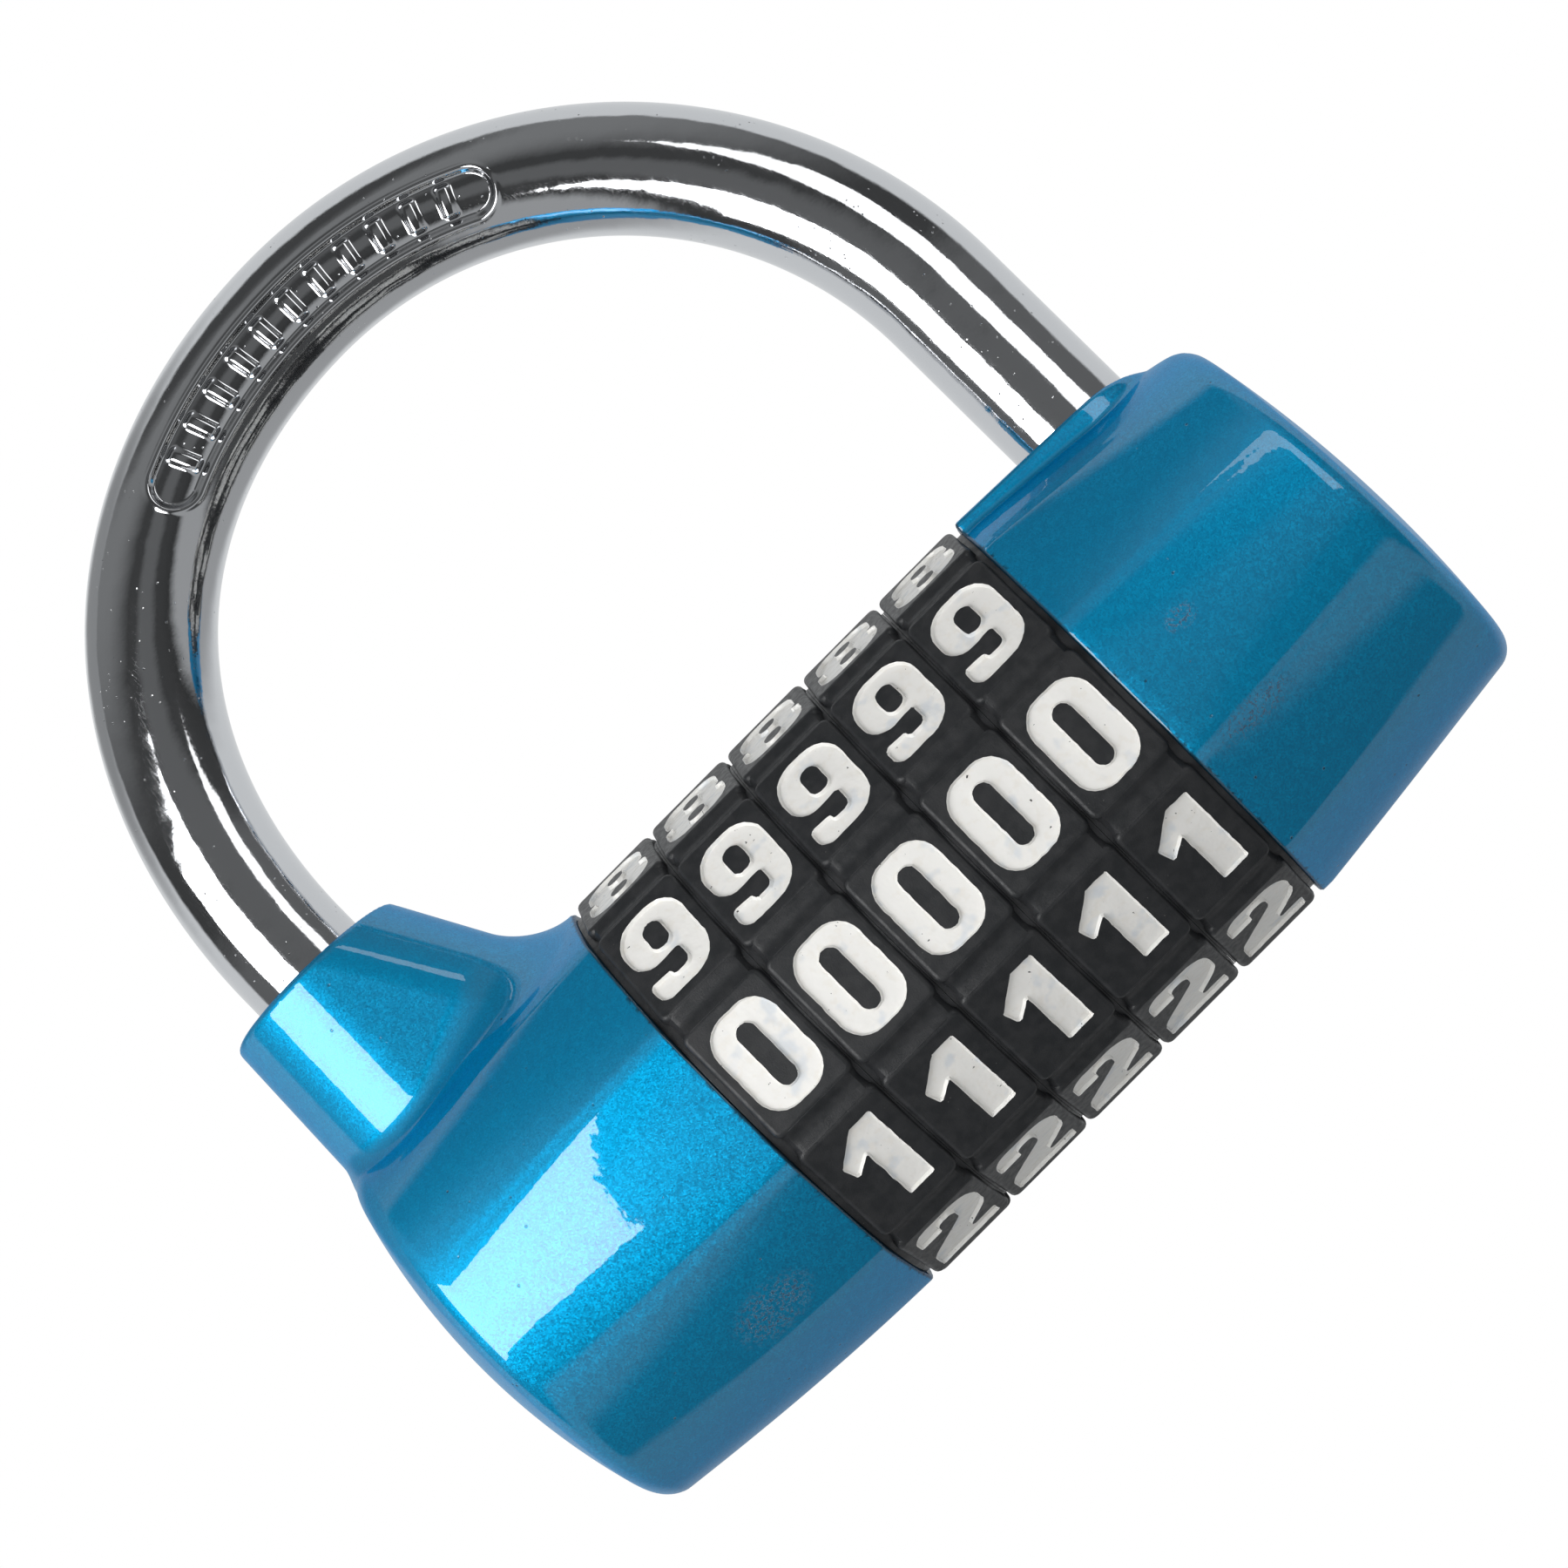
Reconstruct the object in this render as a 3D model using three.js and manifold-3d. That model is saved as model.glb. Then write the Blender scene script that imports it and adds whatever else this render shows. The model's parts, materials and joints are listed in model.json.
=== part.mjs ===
// A five-dial combination padlock with a horizontal barrel body.
//
// Frame: millimetres, +Z up. +X runs along the barrel towards the toe leg, the dials' code row faces -Y.
// The origin is the underside of the shackle's crown, where the lock hangs. All sizes below are given
// from the barrel axis and the middle of the shackle, and the whole lock is moved down once, at the end.
import * as THREE from 'three';
import { mergeVertices } from 'three/addons/utils/BufferGeometryUtils.js';
import Module from 'manifold-3d';

const wasm = await Module();
wasm.setup();

// ---------- driving dimensions ----------
const GAP = 0.3; // air left between neighbouring pieces

const WIRE_R = 3.5; // shackle wire
const LEG_X = 24.2; // each leg's distance from the middle
const ARCH_Z = 22.3; // centre of the shackle's half circle
const HEEL_Z = -10.8; // bottom of the heel leg
const TOE_Z = 4.7; // bottom of the toe leg
const LEG_BORE_R = 3.8;

const LIFT = 9; // how far the shackle rises
const SPINDLE_TRAVEL = 2.4; // how far that pushes the spindle
const WEDGE_TOP = 2.0; // top of the wedge cut in the heel leg

const LEFT_FACE_X = -12.15; // where the left casting meets the dials
const RIGHT_FACE_X = 16.1; // where the right casting meets the dials
const DIALS = 5;
const DIAL_GAP = 0.4;
const DIAL_PITCH = (RIGHT_FACE_X - LEFT_FACE_X - DIAL_GAP) / DIALS;
const DIAL_LENGTH = DIAL_PITCH - DIAL_GAP;
const FIRST_DIAL_X = LEFT_FACE_X + DIAL_GAP;
const FACETS = 10;
const FACET_R = 13.08; // barrel axis to the flat of a facet
const FACET_HALF = 3.585; // half the height of that flat
const DIAL_CHAMFER = 0.3;

const TUBE_R = 4.5; // fixed tube that the code rings turn on
const TUBE_BORE_R = 2.5;
const TUBE_LEFT_X = -18;
const TUBE_RIGHT_X = 18.9;
const FIN_WIDTH = 2.0;
const FIN_TIP_R = 6.6;
const SLOT_WIDTH = FIN_WIDTH + 2 * GAP;

const FIN_THICK = 0.9;
const FLANGE_THICK = SPINDLE_TRAVEL - FIN_THICK - 2 * GAP;
const FIN_START = 0.95; // a fin's left side, from its dial's left side
const FLANGE_START = FIN_START + FIN_THICK + GAP;
const RING_START = 0.6;
const RING_LENGTH = 4.0;
const FLANGE_BORE_R = TUBE_R + GAP;
const GATE_TOP_R = FIN_TIP_R + 0.4;
const CUP_R = 8.6; // inside of a code ring's rim
const RING_ROOT_R = 9.6; // code ring between its teeth
const RING_TIP_R = 10.6; // over its teeth
const TOOTH_HALF_ANGLE = THREE.MathUtils.degToRad(5);
const NOTCH_HALF_ANGLE = THREE.MathUtils.degToRad(7);
const SPACER_R = 9.3;

const SPINDLE_R = 1.6;
const SPINDLE_COLLAR_R = 2.1;
const SPINDLE_COLLAR_LENGTH = 1;
const SPINDLE_END_X = 21.6;
const SPINDLE_BORE_R = 2.0;
const NOSE_GAP = 0.35; // along the barrel, between the spindle's nose and the wedge cut
const SPRING_POCKET_R = 2.6;
const SPRING_POCKET_X = 29.2;
const SPRING_TURNS = 5;
const SPRING_WIRE_R = 0.25;
const SPRING_COIL_R = SPRING_POCKET_R - GAP - SPRING_WIRE_R - 0.1;

const CLICK_WIDTH = 1.8;
const CLICK_THICK = 0.3;
const CLICK_FLOOR = -TUBE_R + 0.9; // floor of the groove that holds the click spring
const CLICK_BUMP_TOP = -TUBE_R + 0.05;
const CLICK_BUMP_HALF = 0.4;

const PIN_SIDES = 16;
const BOSS_TOP_Z = 20.7;
const SHACKLE_PIN_R = 1.0;
const SHACKLE_PIN_Z = BOSS_TOP_Z - LIFT - 1.7; // low enough that the relief stays inside the collar
const SHACKLE_PIN_OFFSET = 3.3; // from the heel leg's axis
const SHACKLE_PIN_X = -LEG_X - SHACKLE_PIN_OFFSET;
const SHACKLE_PIN_FRONT = -3;
const SHACKLE_PIN_BACK = 4.2;
const SHACKLE_PIN_HOLE = 9; // far enough back to open in the collar's side
const NECK_R = SHACKLE_PIN_OFFSET - SHACKLE_PIN_R - GAP;
const CASE_PIN_R = 0.9;
const CASE_PIN_FRONT = -5;
const CASE_PIN_BACK = 12.3;
const CASE_PIN_HOLE = 14; // far enough back to open in the casting's back
const CASE_PIN_Z = -3.45;
const CASE_PIN_LEFT_X = -15.6;
const CASE_PIN_RIGHT_X = 17.5;

const HEEL_SLOPE = SPINDLE_TRAVEL / LIFT; // of the heel leg's wedge cut
const WEDGE_END_Z = -LIFT - SPINDLE_R;

const BOSS_R = 5.65;
// The tall collar round the heel leg: [height, radius round the leg, right end, radius there]
const BOSS_LEVELS = [
  [BOSS_TOP_Z, BOSS_R - 0.3, -18.85, BOSS_R - 0.3],
  [BOSS_TOP_Z - 0.4, BOSS_R, -18.5, BOSS_R],
  [18, 5.7, -17.2, 5.4],
  [14.6, 5.85, -15.4, 5.2],
  [13.4, 6.1, -14.4, 5.5],
  [12.6, 6.5, -13.3, 6.2],
  [11.4, 7.3, -12.6, 7.2],
  [10.2, 8.2, -12.5, 8.2],
  [8, 8.2, -12.5, 8.2],
];
const BOSS_LEFT_X = -30.6; // it stays inside the rim of the domed end

// The low pad round the toe leg: [height, radius]
const PAD_LEVELS = [
  [13.0, 4.6],
  [12.8, 4.9],
  [11.6, 5.9],
  [10.2, 6.6],
];
const PAD_LEFT_X = RIGHT_FACE_X + 1.2;

// [x, radius] down the left casting, from the dials to the rim of the domed end
const LEFT_PROFILE = [
  [LEFT_FACE_X, 13.06],
  [LEFT_FACE_X - 0.3, 13.36],
  [-16.7, 13.2],
  [-21.3, 12.9],
  [-25.8, 12.4],
  [-29.7, 12.0],
  [-30.3, 11.65],
  [-30.6, 11.0],
];
const LEFT_TIP_X = -32.45;
const RIGHT_PROFILE = [
  [RIGHT_FACE_X, 12.75],
  [RIGHT_FACE_X + 0.25, 13.25],
  [RIGHT_FACE_X + 0.8, 13.5],
  [20.7, 13.1],
  [24.3, 12.6],
  [28.9, 12.1],
  [30.8, 11.75],
  [31.5, 11.3],
  [31.9, 10.4],
];
const RIGHT_TIP_X = 32.8;
const CREASES = [20, 54, 90, 126, 160].map(THREE.MathUtils.degToRad); // either side of the front

// ---------- materials ----------
const BLUE = { color: 0x0b86b4, metalness: 0.6, roughness: 0.3 };
const CHROME = { color: 0xd8dadc, metalness: 1, roughness: 0.08 };
const BLACK = { color: 0x222427, metalness: 0, roughness: 0.45 };
const STEEL = { color: 0x9a9c9e, metalness: 1, roughness: 0.35 };
const BRASS = { color: 0xb08d4a, metalness: 1, roughness: 0.3 };

// ---------- solids ----------
function solid(geometry) {
  const bare = geometry.clone();
  bare.deleteAttribute('normal');
  bare.deleteAttribute('uv');
  const welded = mergeVertices(bare, 1e-5);
  const mesh = new wasm.Mesh({
    numProp: 3,
    vertProperties: new Float32Array(welded.attributes.position.array),
    triVerts: new Uint32Array(welded.index.array),
  });
  return new wasm.Manifold(mesh);
}

function geometryOf(manifold) {
  const mesh = manifold.getMesh();
  const geometry = new THREE.BufferGeometry();
  geometry.setAttribute('position', new THREE.BufferAttribute(mesh.vertProperties, 3));
  geometry.setIndex(new THREE.BufferAttribute(mesh.triVerts, 1));
  geometry.computeVertexNormals();
  return geometry;
}

// A closed skin over rings of equal point count. Each end is a fan to its tip, by default the ring's middle.
function loft(rings, startTip, endTip) {
  const count = rings[0].length;
  const middle = (ring) => ring.reduce((sum, p) => sum.add(p), new THREE.Vector3()).divideScalar(count);
  const last = rings.length - 1;
  const points = [...rings.flat(), startTip ?? middle(rings[0]), endTip ?? middle(rings[last])];
  const startIndex = rings.length * count;
  const faces = [];
  for (let i = 0; i < count; i += 1) {
    const j = (i + 1) % count;
    faces.push([startIndex, j, i], [startIndex + 1, last * count + i, last * count + j]);
    for (let k = 0; k < last; k += 1) {
      const a = k * count;
      const b = a + count;
      faces.push([a + i, a + j, b + j], [a + i, b + j, b + i]);
    }
  }
  const volume = faces.reduce((sum, [a, b, c]) => {
    const normal = new THREE.Vector3().crossVectors(points[b], points[c]);
    return sum + points[a].dot(normal);
  }, 0);
  const turned = volume < 0 ? faces.map(([a, b, c]) => [a, c, b]) : faces;
  const geometry = new THREE.BufferGeometry().setFromPoints(points);
  geometry.setIndex(turned.flat());
  return solid(geometry);
}

const X = new THREE.Vector3(1, 0, 0);
const Y = new THREE.Vector3(0, 1, 0);
const Z = new THREE.Vector3(0, 0, 1);

// A cylinder along one axis, from one coordinate to another; u and v place it on the other two axes.
function rod(axis, radius, from, to, u = 0, v = 0, sides = 24) {
  const geometry = new THREE.CylinderGeometry(radius, radius, to - from, sides);
  const middle = (from + to) / 2;
  if (axis === X) geometry.rotateZ(-Math.PI / 2).translate(middle, u, v);
  if (axis === Y) geometry.translate(u, middle, v);
  if (axis === Z) geometry.rotateX(Math.PI / 2).translate(u, v, middle);
  return solid(geometry);
}

function box(x0, x1, y0, y1, z0, z1) {
  const geometry = new THREE.BoxGeometry(x1 - x0, y1 - y0, z1 - z0);
  return solid(geometry.translate((x0 + x1) / 2, (y0 + y1) / 2, (z0 + z1) / 2));
}

// An outline of [y, z] points swept along X.
function prismX(points, x0, x1) {
  const shape = new THREE.Shape(points.map(([y, z]) => new THREE.Vector2(y, z)));
  const geometry = new THREE.ExtrudeGeometry(shape, { depth: x1 - x0, bevelEnabled: false });
  geometry.applyMatrix4(new THREE.Matrix4().makeBasis(Y, Z, X));
  return solid(geometry.translate(x0, 0, 0));
}

// An outline of [x, z] points swept along Y, to the same distance either side.
function prismY(points, halfWidth) {
  const shape = new THREE.Shape(points.map(([x, z]) => new THREE.Vector2(x, z)));
  const geometry = new THREE.ExtrudeGeometry(shape, { depth: 2 * halfWidth, bevelEnabled: false });
  geometry.applyMatrix4(new THREE.Matrix4().makeBasis(X, Z, Y.clone().negate()));
  return solid(geometry.translate(0, halfWidth, 0));
}

// A [y, z] point at an angle measured from the front (-Y) towards the top (+Z).
function polar(radius, angle) {
  return [-radius * Math.cos(angle), radius * Math.sin(angle)];
}

// ---------- castings ----------
// Ten creases near the dials fade to a round section at the outer end.
function castingRing(x, radius, creased) {
  const angles = [];
  const marks = [...CREASES.map((a) => -a).reverse(), ...CREASES];
  marks.forEach((start, i) => {
    const end = i + 1 < marks.length ? marks[i + 1] : marks[0] + 2 * Math.PI;
    const steps = 5;
    for (let k = 0; k < steps; k += 1) {
      const angle = start + ((end - start) * k) / steps;
      const flat = Math.cos((end - start) / 2) / Math.cos(angle - (start + end) / 2);
      angles.push([angle, radius * (creased * flat + 1 - creased)]);
    }
  });
  return angles.map(([angle, r]) => {
    const [y, z] = polar(r, angle);
    return new THREE.Vector3(x, y, z);
  });
}

function castingBody(profile, tipX) {
  const faceX = profile[0][0];
  const reach = Math.abs(profile.at(-1)[0] - faceX);
  const rings = profile.map(([x, r]) => castingRing(x, r, 1 - Math.min(1, Math.abs(x - faceX) / reach)));
  const [rimX, rimR] = profile.at(-1);
  [0.66, 0.33].forEach((share) => {
    const x = tipX + (rimX - tipX) * share * share;
    rings.push(castingRing(x, rimR * share, 0));
  });
  return loft(rings, undefined, new THREE.Vector3(tipX, 0, 0));
}

// The outline round two circles on the middle plane, as seen from above, at one height.
function strapRing(z, leftX, leftR, rightX, rightR, points = 32) {
  return Array.from({ length: points }, (_, i) => {
    const angle = (2 * Math.PI * (i + 0.5)) / points;
    const c = Math.cos(angle);
    const onRight = rightX * c + rightR > leftX * c + leftR;
    const [centre, r] = onRight ? [rightX, rightR] : [leftX, leftR];
    return new THREE.Vector3(centre + r * c, r * Math.sin(angle), z);
  });
}

function boss() {
  const rings = BOSS_LEVELS.map(([z, leftR, rightEnd, rightR]) => {
    const leftX = Math.max(-LEG_X, BOSS_LEFT_X + leftR);
    return strapRing(z, leftX, leftR, rightEnd - rightR, rightR);
  });
  return loft(rings);
}

function pad() {
  return loft(PAD_LEVELS.map(([z, r]) => strapRing(z, PAD_LEFT_X + r, r, LEG_X, r)));
}

function shacklePinHole() {
  const radius = SHACKLE_PIN_R + GAP;
  return rod(Y, radius, SHACKLE_PIN_FRONT - GAP, SHACKLE_PIN_HOLE, SHACKLE_PIN_X, SHACKLE_PIN_Z, PIN_SIDES);
}

function casePinHole(x) {
  return rod(Y, CASE_PIN_R + GAP, CASE_PIN_FRONT - GAP, CASE_PIN_HOLE, x, CASE_PIN_Z, PIN_SIDES);
}

function leftCasting() {
  return castingBody(LEFT_PROFILE, LEFT_TIP_X)
    .add(boss())
    .subtract(rod(Z, LEG_BORE_R, HEEL_Z - GAP, BOSS_TOP_Z + 1, -LEG_X, 0, 32))
    .subtract(rod(X, TUBE_R + GAP, TUBE_LEFT_X - GAP, LEFT_FACE_X + 1, 0, 0, 32))
    .subtract(rod(X, SPINDLE_BORE_R, -LEG_X, TUBE_LEFT_X))
    .subtract(shacklePinHole())
    .subtract(casePinHole(CASE_PIN_LEFT_X));
}

function rightCasting() {
  return castingBody(RIGHT_PROFILE, RIGHT_TIP_X)
    .add(pad())
    .subtract(rod(Z, LEG_BORE_R, TOE_Z - GAP, ARCH_Z, LEG_X, 0, 32))
    .subtract(rod(X, TUBE_R + GAP, RIGHT_FACE_X - 1, TUBE_RIGHT_X + GAP, 0, 0, 32))
    .subtract(rod(X, SPRING_POCKET_R, TUBE_RIGHT_X, SPRING_POCKET_X))
    .subtract(casePinHole(CASE_PIN_RIGHT_X));
}

function casePin(x) {
  return rod(Y, CASE_PIN_R, CASE_PIN_FRONT, CASE_PIN_BACK, x, CASE_PIN_Z, PIN_SIDES);
}

// ---------- shackle ----------
// Where the heel leg's wedge cut stands at a height.
function wedgeX(z) {
  return -LEG_X + WIRE_R - HEEL_SLOPE * (z - WEDGE_END_Z);
}

function wireRing(centre, radius, tangentAngle, points = 20) {
  const outward = new THREE.Vector3(Math.sin(tangentAngle), 0, -Math.cos(tangentAngle));
  return Array.from({ length: points }, (_, i) => {
    const angle = (2 * Math.PI * i) / points;
    const p = centre.clone().addScaledVector(outward, radius * Math.cos(angle));
    return p.addScaledVector(Y, radius * Math.sin(angle));
  });
}

function shackle() {
  const heelChamfer = 0.3;
  const toeChamfer = 0.8;
  const up = Math.PI / 2;
  const rings = [
    wireRing(new THREE.Vector3(-LEG_X, 0, HEEL_Z), WIRE_R - heelChamfer, up),
    wireRing(new THREE.Vector3(-LEG_X, 0, HEEL_Z + heelChamfer), WIRE_R, up),
  ];
  const arcSteps = 28;
  for (let i = 0; i <= arcSteps; i += 1) {
    const turn = (Math.PI * i) / arcSteps;
    const centre = new THREE.Vector3(-LEG_X * Math.cos(turn), 0, ARCH_Z + LEG_X * Math.sin(turn));
    rings.push(wireRing(centre, WIRE_R, up - turn));
  }
  rings.push(wireRing(new THREE.Vector3(LEG_X, 0, TOE_Z + toeChamfer), WIRE_R, -up));
  rings.push(wireRing(new THREE.Vector3(LEG_X, 0, TOE_Z), WIRE_R - toeChamfer, -up));

  const wedge = prismY(
    [
      [-LEG_X + WIRE_R + 1, WEDGE_END_Z - 1],
      [wedgeX(WEDGE_END_Z - 1), WEDGE_END_Z - 1],
      [wedgeX(WEDGE_TOP), WEDGE_TOP],
      [-LEG_X + WIRE_R + 1, WEDGE_TOP],
    ],
    WIRE_R + 1,
  );
  const half = SHACKLE_PIN_R + GAP;
  const neckZ = SHACKLE_PIN_Z - LIFT;
  const relief = box(-LEG_X - WIRE_R - 1, -LEG_X - NECK_R, -5, 5, neckZ - half, SHACKLE_PIN_Z + half);
  const neck = rod(Z, WIRE_R + 1, neckZ - half, neckZ + half, -LEG_X)
    .subtract(rod(Z, NECK_R, neckZ - half - 1, neckZ + half + 1, -LEG_X));
  return loft(rings).subtract(wedge).subtract(relief).subtract(neck);
}

function shacklePin() {
  return rod(Y, SHACKLE_PIN_R, SHACKLE_PIN_FRONT, SHACKLE_PIN_BACK, SHACKLE_PIN_X, SHACKLE_PIN_Z, PIN_SIDES);
}

// ---------- dials ----------
// Ten teeth, or the ten notches they sit in.
function toothedOutline(rootR, tipR, halfAngle) {
  const points = [];
  for (let k = 0; k < FACETS; k += 1) {
    const middle = (2 * Math.PI * k) / FACETS;
    points.push(polar(rootR, middle - halfAngle), polar(tipR, middle - halfAngle));
    points.push(polar(tipR, middle + halfAngle), polar(rootR, middle + halfAngle));
  }
  return points;
}

function dialRing(x, inset) {
  const corner = Math.atan2(FACET_HALF, FACET_R);
  const cornerR = Math.hypot(FACET_HALF, FACET_R) - inset;
  return Array.from({ length: 2 * FACETS }, (_, i) => {
    const side = i % 2 ? corner : -corner;
    const [y, z] = polar(cornerR, (Math.PI * 2 * Math.floor(i / 2)) / FACETS + side);
    return new THREE.Vector3(x, y, z);
  });
}

function numberDial() {
  const outside = loft([
    dialRing(0, DIAL_CHAMFER),
    dialRing(DIAL_CHAMFER, 0),
    dialRing(DIAL_LENGTH - DIAL_CHAMFER, 0),
    dialRing(DIAL_LENGTH, DIAL_CHAMFER),
  ]);
  const notched = toothedOutline(RING_ROOT_R + GAP, RING_TIP_R + GAP, NOTCH_HALF_ANGLE);
  return outside.subtract(prismX(notched, -1, DIAL_LENGTH + 1));
}

// The flange's bore, with a small click notch at each of the ten stops.
function flangeBore() {
  const points = [];
  const half = THREE.MathUtils.degToRad(6);
  for (let k = 0; k < FACETS; k += 1) {
    const middle = (2 * Math.PI * k) / FACETS + Math.PI / 2;
    points.push(polar(FLANGE_BORE_R, middle - half));
    points.push(polar(FLANGE_BORE_R + 0.4, middle));
    points.push(polar(FLANGE_BORE_R, middle + half));
  }
  return points;
}

function gate(x0, x1, topR) {
  return box(x0, x1, -SLOT_WIDTH / 2, SLOT_WIDTH / 2, 0, topR);
}

// Each code ring carries one flange, and its gate lets a fin of the spindle through.
function codeRing() {
  const end = RING_START + RING_LENGTH;
  const flangeEnd = FLANGE_START + FLANGE_THICK;
  const outline = toothedOutline(RING_ROOT_R, RING_TIP_R, TOOTH_HALF_ANGLE);
  return prismX(outline, RING_START, end)
    .subtract(rod(X, CUP_R, RING_START - 1, FLANGE_START, 0, 0, 24))
    .subtract(rod(X, CUP_R, flangeEnd, end + 1, 0, 0, 24))
    .subtract(prismX(flangeBore(), FLANGE_START - 1, flangeEnd + 1))
    .subtract(gate(FLANGE_START - 1, flangeEnd + 1, GATE_TOP_R));
}

// A keyed washer between two code rings, so that one dial doesn't drag the next.
function spacer() {
  const start = RING_START + RING_LENGTH + GAP;
  const end = DIAL_PITCH + RING_START - GAP;
  return rod(X, SPACER_R, start, end, 0, 0, 24)
    .subtract(rod(X, FLANGE_BORE_R, start - 1, end + 1, 0, 0, 24))
    .subtract(gate(start - 1, end + 1, GATE_TOP_R));
}

// ---------- core ----------
function coreTube() {
  const slotEnd = FIRST_DIAL_X + DIALS * DIAL_PITCH;
  const grooveHalf = CLICK_WIDTH / 2 + GAP;
  const cut = (pinX) => rod(Y, CASE_PIN_R + GAP, -TUBE_R - 1, TUBE_R + 1, pinX, CASE_PIN_Z, PIN_SIDES);
  return rod(X, TUBE_R, TUBE_LEFT_X, TUBE_RIGHT_X, 0, 0, 32)
    .subtract(rod(X, TUBE_BORE_R, TUBE_LEFT_X - 1, TUBE_RIGHT_X + 1))
    .subtract(gate(TUBE_LEFT_X - 1, slotEnd, TUBE_R + 1))
    .subtract(box(FIRST_DIAL_X, slotEnd, -grooveHalf, grooveHalf, -TUBE_R - 1, CLICK_FLOOR))
    .subtract(cut(CASE_PIN_LEFT_X))
    .subtract(cut(CASE_PIN_RIGHT_X));
}

// A leaf with one bump under each code ring's flange.
function clickSpring() {
  const top = CLICK_FLOOR - GAP;
  const start = FIRST_DIAL_X + GAP;
  const end = FIRST_DIAL_X + DIALS * DIAL_PITCH - GAP;
  let leaf = box(start, end, -CLICK_WIDTH / 2, CLICK_WIDTH / 2, top - CLICK_THICK, top);
  for (let k = 0; k < DIALS; k += 1) {
    const middle = FIRST_DIAL_X + k * DIAL_PITCH + FLANGE_START + FLANGE_THICK / 2;
    const bump = [
      [middle - 2 * CLICK_BUMP_HALF, top - CLICK_THICK / 2],
      [middle - CLICK_BUMP_HALF, CLICK_BUMP_TOP],
      [middle + CLICK_BUMP_HALF, CLICK_BUMP_TOP],
      [middle + 2 * CLICK_BUMP_HALF, top - CLICK_THICK / 2],
    ];
    leaf = leaf.add(prismY(bump, CLICK_WIDTH / 2 - 0.2));
  }
  return leaf;
}

function spindle() {
  let finned = rod(X, SPINDLE_R, -LEG_X, SPINDLE_END_X)
    .add(rod(X, SPINDLE_COLLAR_R, SPINDLE_END_X - SPINDLE_COLLAR_LENGTH, SPINDLE_END_X));
  for (let k = 0; k < DIALS; k += 1) {
    const start = FIRST_DIAL_X + k * DIAL_PITCH + FIN_START;
    const fin = box(start, start + FIN_THICK, -FIN_WIDTH / 2, FIN_WIDTH / 2, 0, FIN_TIP_R);
    finned = finned.add(fin);
  }
  const past = 2 * SPINDLE_R; // the cut for the nose runs past the rod on every side
  const inFrontOfNose = prismY(
    [
      [-LEG_X - past, -past],
      [wedgeX(-past) + NOSE_GAP, -past],
      [wedgeX(past) + NOSE_GAP, past],
      [-LEG_X - past, past],
    ],
    past,
  );
  return finned.subtract(inFrontOfNose);
}

class Helix extends THREE.Curve {
  constructor(radius, x0, x1, turns) {
    super();
    Object.assign(this, { radius, x0, x1, turns });
  }

  getPoint(t, target = new THREE.Vector3()) {
    const angle = 2 * Math.PI * this.turns * t;
    const x = this.x0 + (this.x1 - this.x0) * t;
    return target.set(x, this.radius * Math.cos(angle), this.radius * Math.sin(angle));
  }
}

function spindleSpring() {
  const start = SPINDLE_END_X + GAP + SPRING_WIRE_R;
  const end = SPRING_POCKET_X - GAP - SPRING_WIRE_R;
  const wire = new THREE.Shape(
    Array.from({ length: 5 }, (_, i) => {
      const angle = (2 * Math.PI * i) / 5;
      return new THREE.Vector2(SPRING_WIRE_R * Math.cos(angle), SPRING_WIRE_R * Math.sin(angle));
    }),
  );
  const path = new Helix(SPRING_COIL_R, start, end, SPRING_TURNS);
  return solid(
    new THREE.ExtrudeGeometry(wire, { extrudePath: path, steps: SPRING_TURNS * 12, bevelEnabled: false }),
  );
}

// ---------- the lock ----------
const lock = new THREE.Group();
lock.position.z = -(ARCH_Z + LEG_X - WIRE_R);

function place(name, manifold, material, x = 0) {
  const mesh = new THREE.Mesh(geometryOf(manifold), new THREE.MeshStandardMaterial(material));
  mesh.name = name;
  mesh.position.x = x;
  lock.add(mesh);
}

place('left_casting', leftCasting(), BLUE);
place('right_casting', rightCasting(), BLUE);
place('shackle', shackle(), CHROME);
place('shackle_pin', shacklePin(), STEEL);
place('case_pin_left', casePin(CASE_PIN_LEFT_X), STEEL);
place('case_pin_right', casePin(CASE_PIN_RIGHT_X), STEEL);
place('core_tube', coreTube(), BRASS);
place('spindle', spindle(), STEEL);
place('spindle_spring', spindleSpring(), STEEL);
place('click_spring', clickSpring(), STEEL);
for (let k = 0; k < DIALS; k += 1) {
  const x = FIRST_DIAL_X + k * DIAL_PITCH;
  place(`number_dial_${k + 1}`, numberDial(), BLACK, x);
  place(`code_ring_${k + 1}`, codeRing(), BRASS, x);
  if (k + 1 < DIALS) place(`dial_spacer_${k + 1}`, spacer(), STEEL, x);
}

export default lock;
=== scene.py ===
import json
import math

import bmesh
import bpy
import numpy as np
import openvdb
from mathutils import Matrix, Vector


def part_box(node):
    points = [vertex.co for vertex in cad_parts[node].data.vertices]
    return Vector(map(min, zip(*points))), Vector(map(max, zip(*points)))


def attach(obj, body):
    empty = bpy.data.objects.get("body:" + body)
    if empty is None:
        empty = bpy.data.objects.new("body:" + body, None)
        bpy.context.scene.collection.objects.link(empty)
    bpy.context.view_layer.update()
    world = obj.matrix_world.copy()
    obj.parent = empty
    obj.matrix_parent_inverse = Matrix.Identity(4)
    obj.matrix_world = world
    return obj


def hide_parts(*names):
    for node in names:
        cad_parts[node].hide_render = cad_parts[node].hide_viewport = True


# A five-dial combination padlock that hangs by its shackle.
# Shapes are worked out in millimetres from the barrel's axis and the middle of the shackle,
# and go into the frame, in metres, at the end of each builder.

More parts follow.
